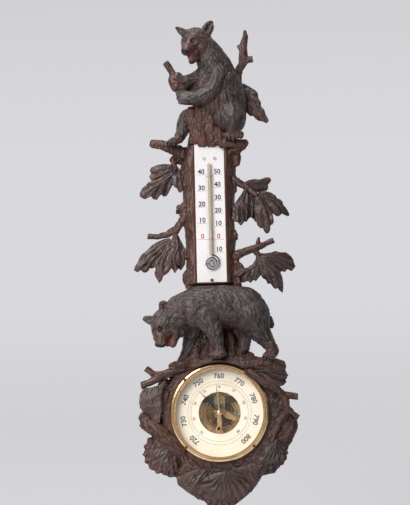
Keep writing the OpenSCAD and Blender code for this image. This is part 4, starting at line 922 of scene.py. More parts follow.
# %% Surround
BEZEL_CLEAR = 67.0  # no cuts inside this radius, where the barometer sits
surround_skin = clay_from("dial_surround", 1.0, 5, [
    [(30, 71, 38, 5), (46, 67, 42, 6), (62, 64, 42, 6), (76, 62, 38, 6), (82, 57, 36, 6)],
    [(-60, 62, 42, 5.4), (-50, 65, 42, 5.4), (-38, 68, 40, 5)],
    [(-26, 69, 40, 4), (-8, 71, 42, 4), (12, 70, 42, 4), (30, 70, 38, 4)],
    [(-34, 72, 26, 10), (-24, 84, 26, 10), (-16, 98, 24, 9), (-12, 110, 22, 7)],
    [(-12, 74, 26, 9), (14, 76, 26, 8), (40, 72, 26, 8)],
])
points, normals = read_points(surround_skin)
radius = np.hypot(points[:, 0], points[:, 1])
outward = points * [1, 1, 0] / radius[:, None]
around = outward[:, [1, 0, 2]] * [-1, 1, 0]
swing = lumps(points, 40)[:, None]
flow = around * (0.6 + 0.4 * swing) + outward * (0.7 - 0.5 * swing)
flow = along_skin(flow, normals)
tool = cuts(streaks(points, flow, 2.8, 12, 7))
scrape = cuts(streaks(points, flow, 1.4, 6, 8))
free = np.clip((radius - BEZEL_CLEAR) / 4, 0, 1) * np.clip((points[:, 2] - 10) / 4, 0, 1)
push(surround_skin, (1.5 * (tool - 0.7) + 0.8 * (scrape - 0.6)) * free)
keep_value(surround_skin, "ridge", 0.5 * tool + 0.5 * scrape)
keep_value(surround_skin, "warm", np.clip(0.1 + 0.5 * lumps(points, 30), 0, 0.5))
as_piece(surround_skin, "dial_surround_carving", trunk_wood, replaced=["dial_surround"])

# %% [markdown]
# ## Leaves and branches
#
# Each spray is a branch with three to five broad leaves that overlap like the fingers of a hand. A
# carver draws the leaf on a board with a paper template, saws it out, then cuts a valley between each
# two ribs, so that a tooth stands where a rib meets the edge. The same is done here: the template
# is a flat face, extruded to the board's thickness and remeshed. Each point's distance to its nearest
# rib and to the next one gives the valley, and the leaf is bent last. A subdivided plane would need a
# grid for each outline, while a remesh follows any template.

# %% Leaf
LEAF_SKIN_MM = 0.7
LEAF_WALL = 3.8  # how thick the board is that a leaf is sawn from
RIB_WAVE = 3.2  # how far a rib strays from its straight line


def gap_to(points, path):
    """Distance from points, seen from the front, to a path of (x, y) places."""
    nearest = np.full(len(points), np.inf)
    for start, end in zip(np.array(path, dtype=float), np.array(path[1:], dtype=float)):
        along = end - start
        share = np.clip((points[:, :2] - start) @ along / (along @ along), 0, 1)
        gap = np.linalg.norm(points[:, :2] - start - share[:, None] * along, axis=1)
        nearest = np.minimum(nearest, gap)
    return nearest


def sawn_board(template):
    """A flat board of the template's outline, as a skin fine enough to carve."""
    board = bmesh.new()
    face = board.faces.new([board.verts.new((x, y, 0)) for x, y in template])
    thick = bmesh.ops.extrude_face_region(board, geom=[face])
    moved = [item for item in thick["geom"] if isinstance(item, bmesh.types.BMVert)]
    bmesh.ops.translate(board, verts=moved, vec=(0, 0, LEAF_WALL))
    bmesh.ops.recalc_face_normals(board, faces=board.faces[:])
    return fuse(board, LEAF_SKIN_MM, 3)


def leaf(shape, template, ribs, foot_z, tip_z, arch=3.0, cup=0.016, tilt=0.0, valley=2.7):
    """Adds one leaf. Template and ribs are (x, y) places, and the first rib is the midrib.

    The leaf rises from foot to tip by the two heights. Arch bends it along, cup and tilt across.
    """
    skin = sawn_board(template)
    points, _ = read_points(skin)
    waver = points.copy()  # the ribs run in waves, because they are looked up at shifted places
    waver[:, 0] += RIB_WAVE * (lumps(points, 17) - 0.5)
    waver[:, 1] += RIB_WAVE * (lumps(points + 60, 17) - 0.5)
    gaps = np.sort([gap_to(waver, rib) for rib in ribs], axis=0)
    near, next_one = gaps[0], gaps[1]
    crest = (next_one - near) / np.maximum(next_one + near, 1e-6)  # 1 on a rib, 0 midway
    room = np.clip((near + next_one) / 7, 0, 1)  # no deep valley fits where ribs meet
    midrib = gap_to(waver, ribs[0])
    foot, tip = np.array(ribs[0][0], dtype=float), np.array(ribs[0][-1], dtype=float)
    length = np.linalg.norm(tip - foot)
    along = (tip - foot) / length
    share = (points[:, :2] - foot) @ along / length
    side = (points[:, :2] - foot) @ np.array([along[1], -along[0]])
    relief = -valley * room * (1 - crest) ** 1.7 * (0.6 + 0.9 * lumps(points, 13))
    relief = np.maximum(relief, 1.1 - 0.9 * midrib - 0.5 * np.clip(share, 0, 1))
    relief += 1.3 * lumps(points, 9) * room
    flow = np.tile([along[0], along[1], 0.0], (len(points), 1))
    chisel = cuts(streaks(waver, flow, 2.0, 11, 11))
    relief += 0.8 * (chisel - 0.6) * room
    top = np.clip(points[:, 2] / LEAF_WALL, 0, 1)  # the back stays as it was sawn
    bend = foot_z + (tip_z - foot_z) * share + arch * np.sin(math.pi * np.clip(share, -0.2, 1.2))
    bend += tilt * side - cup * side**2
    # The ridge value is highest on the rib crests and the midrib, a painted highlight there, with painted
    # shade in the valleys.
    crisp = (0.1 + 0.6 * np.clip(crest, 0, 1)) * room + 0.35 * chisel
    crisp += 0.3 * np.clip(1.4 - midrib, 0, 1)
    keep_value(skin, "ridge", np.where(top > 0.4, crisp + 0.15 * lumps(points, 5), 0.3))
    keep_value(skin, "warm", np.clip(0.5 * lumps(points, 12), 0, 0.5) * top)
    points[:, 2] += top * relief + bend - LEAF_WALL / 2
    write_points(skin, points)
    shape.from_mesh(skin)
    bpy.data.meshes.remove(skin)


def leaf_piece(name, leaves, replaced=()):
    """Leaves as one piece. Each row is (template, ribs, foot z, tip z, options of leaf)."""
    shape = bmesh.new()
    for template, ribs, foot_z, tip_z, options in leaves:
        leaf(shape, template, ribs, foot_z, tip_z, **options)
    return as_piece(new_mesh(shape, name), name, leaf_wood, replaced=replaced)


# %% Branch
BRANCH_SKIN_MM = 0.8
SAW_REACH = 12  # a saw cut flattens only what lies this near to it


def branch_piece(name, chains, ends=(), replaced=()):
    """A branch with bark, from chains of balls. Ends are saw cuts (x, y, z, dx, dy, dz)."""
    shape = bmesh.new()
    for chain in chains:
        limb(shape, chain)
    skin = fuse(shape, BRANCH_SKIN_MM, 3)
    points, normals = read_points(skin)
    rows = np.array([[*a[:3], *(Vector(b[:3]) - Vector(a[:3])).normalized()]
                     for chain in chains for a, b in zip(chain, chain[1:])])
    flow = combed(points, normals, rows)
    bark = cuts(streaks(points, flow, 2.6, 14, 9))
    points = points + normals * (1.1 * (bark - 0.6))[:, None]
    for cut in ends:
        place, way = np.array(cut[:3], dtype=float), np.array(cut[3:], dtype=float)
        way /= np.linalg.norm(way)
        past = (points - place) @ way
        close = np.linalg.norm(points - place, axis=1) < SAW_REACH
        points -= way * (np.maximum(past, 0) * close)[:, None]
        bark = np.where((past > -0.3) & close, 0.75, bark)
    write_points(skin, points)
    keep_value(skin, "ridge", bark)
    keep_value(skin, "warm", 0.3 + 0.3 * lumps(points, 20))
    return as_piece(skin, name, trunk_wood, replaced=replaced)


# %% Spray at the upper left
leaf_piece("upper_left_leaves", [
    ([(-57, 332), (-66, 333), (-76, 332), (-84, 329), (-86, 325), (-84, 321), (-87, 317), (-85, 313),
      (-82, 308), (-74, 308), (-64, 312), (-52, 322), (-50, 329)],
     [[(-53, 329), (-68, 320), (-84, 313)], [(-53, 331), (-68, 328), (-86, 324)],
      [(-54, 326), (-66, 314), (-79, 308)]], 22, 20, dict(arch=2, tilt=0.05)),
    ([(-47, 328), (-58, 323), (-66, 317), (-74, 312), (-83, 310), (-88, 308), (-91, 304), (-96, 301),
      (-100, 294), (-99, 289), (-93, 286), (-88, 288), (-85, 290), (-82, 286), (-77, 285), (-74, 289),
      (-71, 292), (-68, 289), (-64, 290), (-61, 294), (-59, 298), (-56, 303), (-51, 309), (-48, 318)],
     [[(-51, 328), (-59, 317), (-75, 303), (-97, 293)], [(-56, 322), (-70, 311), (-88, 305)],
      [(-68, 309), (-80, 297), (-91, 288)], [(-60, 316), (-70, 301), (-79, 287)],
      [(-54, 320), (-60, 304), (-64, 291)]], 27, 24, dict(arch=3)),
    ([(-50, 332), (-45, 323), (-41, 317), (-36, 305), (-35, 298), (-38, 294), (-41, 297), (-44, 293),
      (-47, 293), (-50, 299), (-53, 300), (-56, 306), (-57, 313), (-54, 323)],
     [[(-50, 329), (-47, 313), (-45, 294)], [(-49, 322), (-53, 310), (-54, 301)],
      [(-47, 318), (-40, 306), (-38, 295)]], 25, 29, dict(arch=3, tilt=0.1)),
], ["upper_left_spray"])
branch_piece("upper_left_branch", [
    [(-38, 350, 20, 5.5), (-48, 344, 22, 5.4), (-53, 339, 23, 4.6), (-53, 331, 24, 3.8), (-51, 325, 25, 3)],
    [(-40, 337, 17, 6), (-48, 338, 20, 5.6), (-55, 338, 20, 4.2)],
])

# %% Spray at the lower left
leaf_piece("lower_left_leaves", [
    ([(-50, 238), (-46, 229), (-41, 219), (-40, 211), (-41, 198), (-44, 193), (-47, 189), (-50, 192),
      (-51, 199), (-51, 212), (-52, 226), (-53, 238)],
     [[(-51, 237), (-46, 218), (-47, 191)], [(-50, 230), (-50, 212), (-51, 195)]], 22, 26,
     dict(arch=2, tilt=0.08)),
    ([(-60, 233), (-68, 232), (-78, 228), (-85, 224), (-91, 218), (-98, 213), (-102, 208), (-104, 203),
      (-108, 197), (-110, 192), (-105, 189), (-100, 192), (-98, 189), (-94, 188), (-90, 191), (-88, 195),
      (-86, 193), (-82, 195), (-76, 202), (-68, 213), (-58, 224)],
     [[(-59, 231), (-77, 217), (-92, 204), (-108, 192)], [(-64, 230), (-83, 219), (-102, 207)],
      [(-64, 224), (-78, 208), (-96, 190)], [(-62, 222), (-73, 207), (-85, 195)]], 25, 19,
     dict(arch=3)),
    ([(-57, 230), (-64, 226), (-71, 213), (-78, 205), (-83, 197), (-80, 192), (-82, 187), (-81, 182),
      (-78, 177), (-76, 173), (-72, 177), (-70, 183), (-67, 184), (-63, 187), (-59, 193), (-58, 202),
      (-55, 218)],
     [[(-58, 230), (-67, 209), (-73, 193), (-77, 175)], [(-61, 224), (-73, 205), (-81, 191)],
      [(-58, 224), (-61, 206), (-65, 186)]], 27, 27, dict(arch=3)),
    ([(-51, 238), (-57, 236), (-60, 224), (-60, 212), (-62, 202), (-61, 193), (-58, 191), (-55, 185),
      (-52, 189), (-49, 193), (-47, 200), (-48, 212), (-49, 225)],
     [[(-53, 237), (-55, 212), (-55, 187)], [(-51, 230), (-50, 210), (-50, 194)],
      [(-56, 228), (-59, 210), (-60, 194)]], 28, 30, dict(arch=2)),
], ["lower_left_spray"])
branch_piece("lower_left_branch", [
    [(-34, 276, 19, 6), (-40, 264, 20, 6), (-45, 254, 21, 5.6), (-53, 244, 23, 5.2), (-64, 238, 24, 4.6),
     (-77, 235, 25, 4), (-93, 236, 26, 3.8)],
    [(-50, 247, 23, 4.4), (-53, 239, 26, 3.6), (-54, 231, 28, 2.8)],
    [(-44, 268, 18, 5), (-40, 260, 16, 6), (-36, 250, 16, 6)],
], [(-90, 236, 26, -1, 0.1, 0)])

# %% Spray at the upper right
leaf_piece("upper_right_leaves", [
    ([(40, 305), (47, 308), (54, 309), (59, 308), (63, 309), (68, 311), (74, 311), (76, 307), (73, 303),
      (71, 301), (72, 298), (70, 294), (66, 293), (60, 291), (51, 293), (43, 299)],
     [[(41, 302), (54, 303), (75, 308)], [(47, 300), (59, 298), (71, 296)],
      [(46, 304), (56, 306), (64, 308)]], 24, 20, dict(arch=2, tilt=-0.1)),
    ([(43, 296), (51, 289), (56, 282), (57, 265), (56, 253), (53, 251), (51, 255), (47, 258), (44, 255),
      (41, 251), (39, 253), (39, 266), (40, 279)],
     [[(44, 294), (48, 276), (47, 258)], [(47, 290), (52, 272), (54, 252)],
      [(43, 293), (42, 273), (41, 252)]], 24, 26, dict(arch=1)),
    ([(54, 288), (62, 292), (68, 292), (75, 290), (81, 286), (83, 282), (87, 281), (90, 278), (91, 273),
      (94, 270), (97, 265), (99, 260), (97, 258), (92, 260), (89, 262), (86, 259), (82, 258), (78, 261),
      (73, 265), (67, 273), (60, 279), (52, 282)],
     [[(53, 287), (68, 283), (83, 277), (99, 259)], [(67, 282), (75, 273), (82, 259)],
      [(66, 286), (80, 284)], [(62, 288), (74, 289)], [(80, 277), (88, 270), (96, 262)]], 27, 21,
     dict(arch=3, tilt=-0.05)),
    ([(55, 285), (52, 273), (52, 262), (54, 253), (56, 246), (60, 242), (63, 243), (64, 239), (67, 235),
      (71, 236), (73, 241), (73, 246), (76, 247), (78, 251), (77, 258), (76, 264), (70, 276), (62, 284)],
     [[(55, 286), (60, 273), (64, 262), (66, 251), (68, 236)], [(62, 273), (72, 259), (76, 248)],
      [(60, 273), (57, 260), (59, 243)]], 29, 28, dict(arch=3)),
    ([(41, 298), (36, 289), (30, 281), (25, 274), (23, 266), (22, 256), (26, 252), (30, 251), (34, 246),
      (38, 250), (40, 254), (42, 252), (43, 260), (45, 274), (45, 287), (43, 296)],
     [[(41, 296), (36, 277), (34, 260), (34, 248)], [(38, 285), (29, 269), (27, 253)],
      [(42, 290), (41, 268), (41, 253)]], 28, 31, dict(arch=3)),
], ["upper_right_spray"])
branch_piece("upper_right_branch", [
    [(12, 314, 18, 7.5), (23, 310, 20, 6.4), (32, 305, 23, 5.4), (40, 300, 25, 4.8), (48, 293, 27, 4.2),
     (55, 287, 29, 3.4)],
    [(20, 322, 17, 6), (24, 311, 20, 6.4), (24, 296, 19, 6)],
])

# %% Spray at the lower right
leaf_piece("lower_right_leaves", [
    ([(55, 210), (65, 209), (73, 210), (79, 212), (85, 210), (93, 210), (98, 206), (102, 201), (103, 196),
      (105, 191), (103, 189), (100, 185), (97, 186), (94, 188), (91, 184), (87, 185), (84, 184),
      (78, 190), (70, 198), (62, 202), (56, 205)],
     [[(58, 207), (81, 203), (104, 193)], [(63, 207), (85, 207), (100, 204)],
      [(70, 202), (86, 196), (99, 186)], [(70, 200), (81, 193), (88, 185)]], 26, 21,
     dict(arch=3, tilt=-0.06)),
    ([(59, 206), (69, 201), (77, 194), (84, 185), (87, 177), (88, 169), (88, 162), (87, 156), (83, 159),
      (80, 163), (78, 161), (75, 163), (73, 166), (71, 169), (69, 168), (67, 169), (65, 174), (61, 176),
      (59, 180), (57, 186), (55, 194), (56, 203)],
     [[(58, 205), (70, 195), (79, 182), (87, 157)], [(61, 200), (64, 186), (68, 169)],
      [(67, 197), (73, 180), (76, 162)], [(58, 198), (60, 189), (60, 179)],
      [(74, 188), (82, 177), (87, 166)]], 29, 24, dict(arch=3)),
    ([(56, 198), (58, 189), (60, 181), (56, 177), (52, 172), (49, 174), (45, 170), (41, 173), (36, 171),
      (32, 172), (28, 176), (24, 178), (25, 183), (37, 186), (46, 190), (52, 196)],
     [[(55, 196), (54, 184), (51, 173)], [(53, 193), (48, 181), (45, 171)],
      [(50, 189), (40, 180), (35, 172)], [(46, 188), (34, 181), (26, 178)]], 27, 28, dict(arch=2)),
], ["lower_right_spray"])
branch_piece("lower_right_branch", [
    [(12, 204, 18, 7.5), (22, 206, 21, 7), (32, 210, 23, 6), (44, 214, 25, 5), (54, 217, 26, 4.6),
     (62, 220, 26, 4.2), (71, 224, 27, 3.8), (79, 227, 27, 3.6)],
    [(55, 216, 26, 3.8), (56, 222, 27, 3), (57, 229, 28, 2)],
    [(50, 215, 25, 4.2), (56, 208, 26, 4), (56, 200, 27, 3.8), (51, 192, 28, 3.8), (42, 187, 27, 4),
     (32, 184, 25, 4.6), (20, 180, 22, 6)],
    [(22, 208, 18, 6.5), (25, 196, 20, 7), (24, 184, 19, 6.5)],
    [(26, 197, 22, 6), (31, 192, 23, 5), (34, 187, 24, 4.6)],
], [(77, 226, 27, 0.9, 0.4, 0)])

# %% Branch and leaf behind the upper bear
leaf_piece("top_leaf", [
    ([(34, 440), (42, 440), (49, 436), (58, 430), (61, 426), (62, 418), (65, 413), (65, 407), (69, 403),
      (71, 396), (75, 388), (72, 384), (66, 387), (61, 388), (57, 391), (54, 395), (50, 395), (46, 399),
      (43, 403), (41, 416), (38, 430)],
     [[(37, 439), (46, 422), (56, 406), (74, 386)], [(43, 430), (52, 429), (60, 425)],
      [(49, 418), (57, 416), (64, 411)], [(54, 409), (62, 407), (69, 400)],
      [(46, 422), (46, 412), (45, 402)], [(51, 414), (52, 405), (53, 396)],
      [(58, 403), (61, 396), (64, 388)]], 15, 20, dict(arch=2, valley=1.6)),
])
branch_piece("top_branch_bark", [
    [(30, 420, 11, 6.4), (36, 432, 13, 5.4), (35, 447, 14, 5.2), (36, 457, 15, 5.4), (41, 466, 16, 5.8),
     (43, 476, 16, 6), (43, 486, 16, 5.6), (44, 495, 16, 4.8), (46, 503, 16, 3.8), (46, 510, 16, 2.6)],
    [(39, 463, 16, 5.2), (47, 471, 17, 4.6), (56, 472.5, 18, 4.8)],
    [(42, 486, 16, 4.6), (37.5, 490, 16, 3)],
], [(55.5, 472.5, 18, 1, 0.1, 0)], ["top_branch"])
branch_piece("held_stick_bark", [
    [(-39, 424, 47, 4), (-46, 440, 48, 4.4), (-53, 453, 50, 4.6), (-61, 467, 52, 4.6)],
], [(-59, 464.5, 52, -0.5, 0.86, 0)], ["held_stick"])

# %% Twig, hanging leaf and vine beside the dial
branch_piece("left_twig_bark", [
    [(-48, 60, 36, 7), (-62, 55, 38, 6), (-75, 51, 38, 5.4), (-84, 52, 38, 4.6), (-98, 62, 38, 4.2)],
    [(-70, 51, 38, 5.4), (-82, 46, 38, 5), (-93, 41, 38, 4.8), (-106, 36, 38, 4.8)],
], [(-96, 59.5, 38, -0.75, 0.66, 0), (-102, 38, 38, -1, -0.2, 0)], ["left_twig"])
leaf_piece("hanging_leaf", [
    ([(-71, 44), (-78, 38), (-89, 35), (-98, 35), (-104, 26), (-105, 14), (-99, 6), (-90, -4),
      (-83, -17), (-77, -6), (-75, 7), (-75, 22), (-73, 33), (-69, 42)],
     [[(-72, 43), (-77, 22), (-78, 7), (-82, -15)], [(-79, 24), (-104, 15)]], 43, 40,
     dict(arch=2, valley=1.2, cup=0.006)),
])
branch_piece("left_log_bark", [
    [(-96, -10, 34, 10.4), (-82, -21, 36, 10.8), (-66, -36, 36, 11), (-54, -49, 35, 10)],
], [(-100.5, -6.5, 34, -0.8, 0.55, 0.2)])
branch_piece("right_vine_bark", [
    [(40, 53, 46, 6.4), (52, 44, 47, 6.6), (62, 37, 46, 6.2), (76, 29, 44, 5.6), (84, 20, 42, 5.2),
     (87, 12, 41, 5), (87, 0, 40, 4.8), (83, -8, 40, 4.6), (77, -16, 40, 4.4), (72, -26, 40, 4),
     (67, -38, 40, 3.6)],
    [(86, 21, 41, 4.8), (94, 20, 41, 4.4), (102, 18.5, 41, 4.4)],
    [(87, 5, 40, 4.4), (95, -3, 40, 4), (103, -9, 40, 3.6)],
], [(103, 18.5, 41, 1, 0, 0), (103, -9, 40, 0.8, -0.5, 0)], ["right_vine"])

# %% Leaves that lie on the surround


def fan(root, tips):
    """Ribs that all start at the root."""
    return [[root, tip] for tip in tips]


leaf_piece("surround_foliage", [
    ([(-66, -34), (-78, -29), (-85, -31), (-95, -39), (-94, -51), (-91, -67), (-80, -76), (-60, -81),
      (-57, -70), (-58, -57), (-62, -46)],
     fan((-70, -50), [(-87, -72), (-94, -38), (-95, -49), (-93, -60), (-76, -78), (-65, -81),
                      (-58, -72)]), 40, 35, dict(arch=2, valley=2.8, cup=0.004)),
    ([(-58, -83), (-57, -92), (-42, -104), (-26, -113), (-10, -108), (-16, -92), (-14, -76), (-24, -70),
      (-42, -76)],
     [[(-22, -74), (-44, -103)], [(-22, -74), (-56, -85)], [(-22, -78), (-24, -112)]], 38, 36,
     dict(arch=2, valley=1.2, cup=0.002)),
    ([(3, -76), (-8, -78), (-20, -83), (-29, -92), (-31, -102), (-25, -112), (-17, -120), (-1, -123),
      (16, -121), (27, -113), (36, -106), (39, -97), (34, -86), (25, -79), (14, -76)],
     fan((5, -80), [(0, -124), (-30, -92), (-30, -104), (-22, -114), (-12, -121), (12, -122), (22, -116),
                    (32, -108), (39, -98), (34, -86)]), 45, 36, dict(arch=3, valley=3.0, cup=0.003)),
    ([(16, -72), (30, -70), (46, -66), (50, -74), (49, -84), (46, -95), (38, -105), (30, -100),
      (30, -88)],
     [[(22, -76), (44, -98)], [(22, -74), (49, -76)], [(26, -84), (34, -102)]], 38, 35,
     dict(arch=2, valley=1.2, cup=0.002)),
    ([(66, -36), (75, -35), (82, -42), (86, -54), (85, -60), (81, -67), (75, -73), (70, -80), (57, -82),
      (48, -83), (43, -76), (46, -65), (53, -54), (60, -45)],
     fan((71, -38), [(64, -80), (54, -56), (48, -70), (52, -82), (73, -75), (82, -64), (85, -52)]), 40, 35,
     dict(arch=2, valley=2.8, cup=0.004)),
    ([(42, 56), (50, 63), (61, 68), (76, 69), (87, 65), (89, 58), (87, 52), (89, 46), (86, 42), (89, 38),
      (84, 33), (77, 32), (67, 34), (55, 39), (46, 47)],
     [[(46, 52), (66, 50), (89, 39)], [(50, 60), (68, 64), (86, 63)], [(50, 56), (70, 57), (88, 52)],
      [(52, 52), (70, 52), (88, 46)], [(54, 47), (68, 40), (80, 33)]], 48, 47,
     dict(arch=4, valley=3.4, cup=0.006)),
])

# %% [markdown]
# ## Painted shade from side to side
#
# The carving looks paler on the left and darker on the right, as the light falls from the left. A
# second lamp setting could give that, but only from the front. The ridge values that the wood reads
# are made weaker from left to right instead, which paints that shade into the colour.

# %% Painted shade from left to right
# Painted shade: the wood is made darker for each millimetre to the right.
SHADE_EACH_MM = 0.0035  # how much darker the wood is for each millimetre to the right
MIDDLE_SHARE = 0.88
LEAST_SHARE, MOST_SHARE = 0.55, 1.15
meshes = [piece for piece in bpy.data.objects if piece.type == "MESH"]
carvings = [piece for piece in meshes if "ridge" in piece.data.attributes]
for piece in carvings:
    points, _ = read_points(piece.data)
    points[:, 1] = np.minimum(points[:, 1], 0)  # nothing stands behind the wall
    write_points(piece.data, points)
    from_middle = points[:, 0] / MM - DIAL_FROM_HANGER[0]
    ridges = np.empty(len(points), dtype=np.float32)
    piece.data.attributes["ridge"].data.foreach_get("value", ridges)
    share = np.clip(MIDDLE_SHARE - SHADE_EACH_MM * from_middle, LEAST_SHARE, MOST_SHARE)
    keep_value(piece.data, "ridge", ridges * share)
print("carved pieces:", len(carvings))

# %% [markdown]
# ## Metal, glass and enamel
#
# The measured solids already have the right shape here, so they only get a finish. Brass is a
# metal whose colour is its reflection. Its roughness changes a little from place to place, as lacquer
# and handling leave it. The clear glass lets lamp light through by a transparent branch for shadow
# rays, because a path tracer can't follow light through glass to the dial in a few samples. Leaving
# the glass out would be simpler, but then the dial has no reflection on it.

# %% Metal finishes


def metal(name, hex_value, roughness, tarnish, patch_mm=9.0):
    """A metal with patches of tarnish, and fine scratches about half a millimetre apart."""
    material, tree, output = new_material(name)
    place = put(tree, "TexCoord")
    patches = put(tree, "TexNoise",
                  sockets={"Vector": place.outputs["Object"], "Scale": 1000 / patch_mm, "Detail": 5})
    dull = put(tree, "MapRange", sockets={0: patches.outputs[0], 1: 0.4, 2: 0.75})
    tone = put(tree, "Mix", {"data_type": "RGBA"},
               {0: dull.outputs[0], 6: colour(hex_value), 7: colour(tarnish)})
    rough = put(tree, "MapRange", sockets={0: dull.outputs[0], 3: roughness, 4: roughness + 0.18})
    grit = put(tree, "TexNoise", sockets={"Vector": place.outputs["Object"], "Scale": 1800})
    bump = put(tree, "Bump", sockets={"Height": grit.outputs[0], "Strength": 0.08, "Distance": 0.0001})
    surface = put(tree, "BsdfPrincipled", sockets={
        "Base Color": tone.outputs[2],
        "Metallic": 1.0,
        "Roughness": rough.outputs[0],
        "Normal": bump.outputs[0],
    })
    tree.links.new(surface.outputs[0], output.inputs["Surface"])
    return material


# Gilt brass mirrors the room sharply, and lacquered brass more softly. Aged brass, iron and blued
# steel are dark and keep only a dull shine, and drawn steel and mercury look bright and cold.
finishes = {
    "gilt_brass": metal("polished_gilt_brass", "#F4D3A4", 0.1, "#DDB080"),
    "brass": metal("lacquered_brass", "#E6B680", 0.26, "#A87A50"),
    "dark_brass": metal("aged_brass", "#6E5530", 0.38, "#3C2C18"),
    "iron": metal("blackened_iron", "#3A3634", 0.42, "#57402E"),
    "blued_steel": metal("blued_steel", "#34323A", 0.25, "#201E22"),
    "bright_steel": metal("drawn_steel", "#C9CACC", 0.22, "#8E8B88"),
    "mercury": metal("mercury", "#C8C6CC", 0.2, "#A8A6AC"),
}
print("metals:", sorted(finishes))

# %% Glass and enamel


def clear_glass(name):
    """Clear glass that casts almost no shadow, with the faint smears of a cloth, 17 mm apart."""
    material, tree, output = new_material(name)
    place = put(tree, "TexCoord")
    wipe = put(tree, "TexNoise", sockets={"Vector": place.outputs["Object"], "Scale": 60, "Detail": 3})
    smear = put(tree, "MapRange", sockets={0: wipe.outputs[0], 1: 0.45, 2: 0.8, 3: 0.0, 4: 0.05})
    body = put(tree, "BsdfPrincipled", sockets={
        "Base Color": colour("#FCFFFE"),
        "Roughness": smear.outputs[0],
        "IOR": 1.46,
        "Transmission Weight": 1.0,
    })
    through = put(tree, "BsdfTransparent", sockets={"Color": colour("#FBFDFC")})
    ray = put(tree, "LightPath")
    pick = put(tree, "MixShader", sockets={
        0: ray.outputs["Is Shadow Ray"], 1: body.outputs[0], 2: through.outputs[0]})
    tree.links.new(pick.outputs[0], output.inputs["Surface"])
    return material


def glazed(name, hex_value, stain, roughness, spread):
    """Opal glass or enamel: a pale body under a glossy skin, yellowed in patches 35 mm across."""
    material, tree, output = new_material(name)
    place = put(tree, "TexCoord")
    age = put(tree, "TexNoise", sockets={"Vector": place.outputs["Object"], "Scale": spread, "Detail": 4})
    yellow = put(tree, "MapRange", sockets={0: age.outputs[0], 1: 0.4, 2: 0.8})
    tone = put(tree, "Mix", {"data_type": "RGBA"},
               {0: yellow.outputs[0], 6: colour(hex_value), 7: colour(stain)})
    surface = put(tree, "BsdfPrincipled", sockets={
        "Base Color": tone.outputs[2],
        "Roughness": roughness,
        "Coat Weight": 0.3,
        "Coat Roughness": 0.08,
    })
    tree.links.new(surface.outputs[0], output.inputs["Surface"])
    return material


finishes["clear_glass"] = clear_glass("clear_polished_glass")
finishes["opal_glass"] = glazed("opal_glass", "#EDEAE9", "#E8E0DA", 0.25, 25)
finishes["dial_enamel"] = glazed("warm_white_enamel", "#EDDDCB", "#E6D2BA", 0.35, 30)
finishes["bead_glass"] = bead_glass
finishes["carved_wood"] = trunk_wood
finishes["bear_wood"] = bear_wood
finishes["peg_wood"] = stained_wood("stained_turned_beech", "#1E120E", "#5A4036", "#5A4036", 0.5, 0.2)

# %% A finish for each measured solid
for part in frame["record"]["subparts"]:
    for material_slot in nodes[part["node"]].material_slots:
        material_slot.material = finishes[part["material_slot"]]

# Old tube glass has gone the colour of straw, cloudy in patches 5 mm long.
tube_glass, tree, output = new_material("yellowed_tube_glass")
place = put(tree, "TexCoord")
cloud = put(tree, "TexNoise", sockets={"Vector": place.outputs["Object"], "Scale": 220})
tone = put(tree, "Mix", {"data_type": "RGBA"},
           {0: cloud.outputs[0], 6: colour("#E0D6C6"), 7: colour("#D2C4AE")})
surface = put(tree, "BsdfPrincipled", sockets={
    "Base Color": tone.outputs[2], "Roughness": 0.08, "IOR": 1.3, "Transmission Weight": 0.5})
tree.links.new(surface.outputs[0], output.inputs["Surface"])
nodes["thermometer_stem"].material_slots[0].material = tube_glass
for name, finish in (
    ("capsule", metal("rolled_brass_capsule", "#F0D29A", 0.2, "#B8935C", 3)),
    ("main_spring", metal("tempered_spring_steel", "#A08C68", 0.3, "#6A5438", 4)),
):
    for material_slot in nodes[name].material_slots:
        material_slot.material = finish
print("finishes:", sorted(finishes))

# %% [markdown]
# ## Printed scales
#
# The figures and lines are thin flat solids, a few hundredths of a millimetre proud, as fired print
# is. Figures come from a text object made into a mesh. The scale plate carries two scales: 40 steps
# of the left one are as long as 50 of the right one, and their zeros are red. An image of the scale
# would need a file, and it blurs when the camera comes near.

# %% Ink and its tools
INK_PROUD = 0.05  # half the thickness of the print
DIGIT_SHARE = 0.69  # a figure's height as a share of the text size
STROKE_GAIN = 0.04  # printed strokes are this much bolder on each side, as a share of the height


def ink(name, hex_value):
    """Fired print: a dense satin colour, worn thinner in spots 1 mm across."""
    material, tree, output = new_material(name)
    place = put(tree, "TexCoord")
    wear = put(tree, "TexNoise", sockets={"Vector": place.outputs["Object"], "Scale": 900})
    thin = put(tree, "MapRange", sockets={0: wear.outputs[0], 1: 0.4, 2: 1.0, 3: 0.0, 4: 0.3})
    tone = put(tree, "Mix", {"data_type": "RGBA"},
               {0: thin.outputs[0], 6: colour(hex_value), 7: colour("#7E7C80")})
    surface = put(tree, "BsdfPrincipled", sockets={"Base Color": tone.outputs[2], "Roughness": 0.45})
    tree.links.new(surface.outputs[0], output.inputs["Surface"])
    return material


def figures(sheet, text, height, place, turn=0.0):
    """Adds printed figures centred at a place in drawing millimetres, turned clockwise in degrees."""
    letters = bpy.data.curves.new("figures", "FONT")
    letters.body = text
    letters.size = height / DIGIT_SHARE
    letters.align_x = "CENTER"
    letters.align_y = "CENTER"
    letters.extrude = INK_PROUD
    letters.offset = STROKE_GAIN * height
    letters.resolution_u = 3
    holder = bpy.data.objects.new("figures", letters)
    bpy.context.scene.collection.objects.link(holder)
    ready = holder.evaluated_get(bpy.context.evaluated_depsgraph_get())
    mesh = bpy.data.meshes.new_from_object(ready)
    mesh.transform(Matrix.Translation(place) @ Matrix.Rotation(math.radians(-turn), 4, "Z"))
    sheet.from_mesh(mesh)
    bpy.data.objects.remove(holder)
    bpy.data.meshes.remove(mesh)


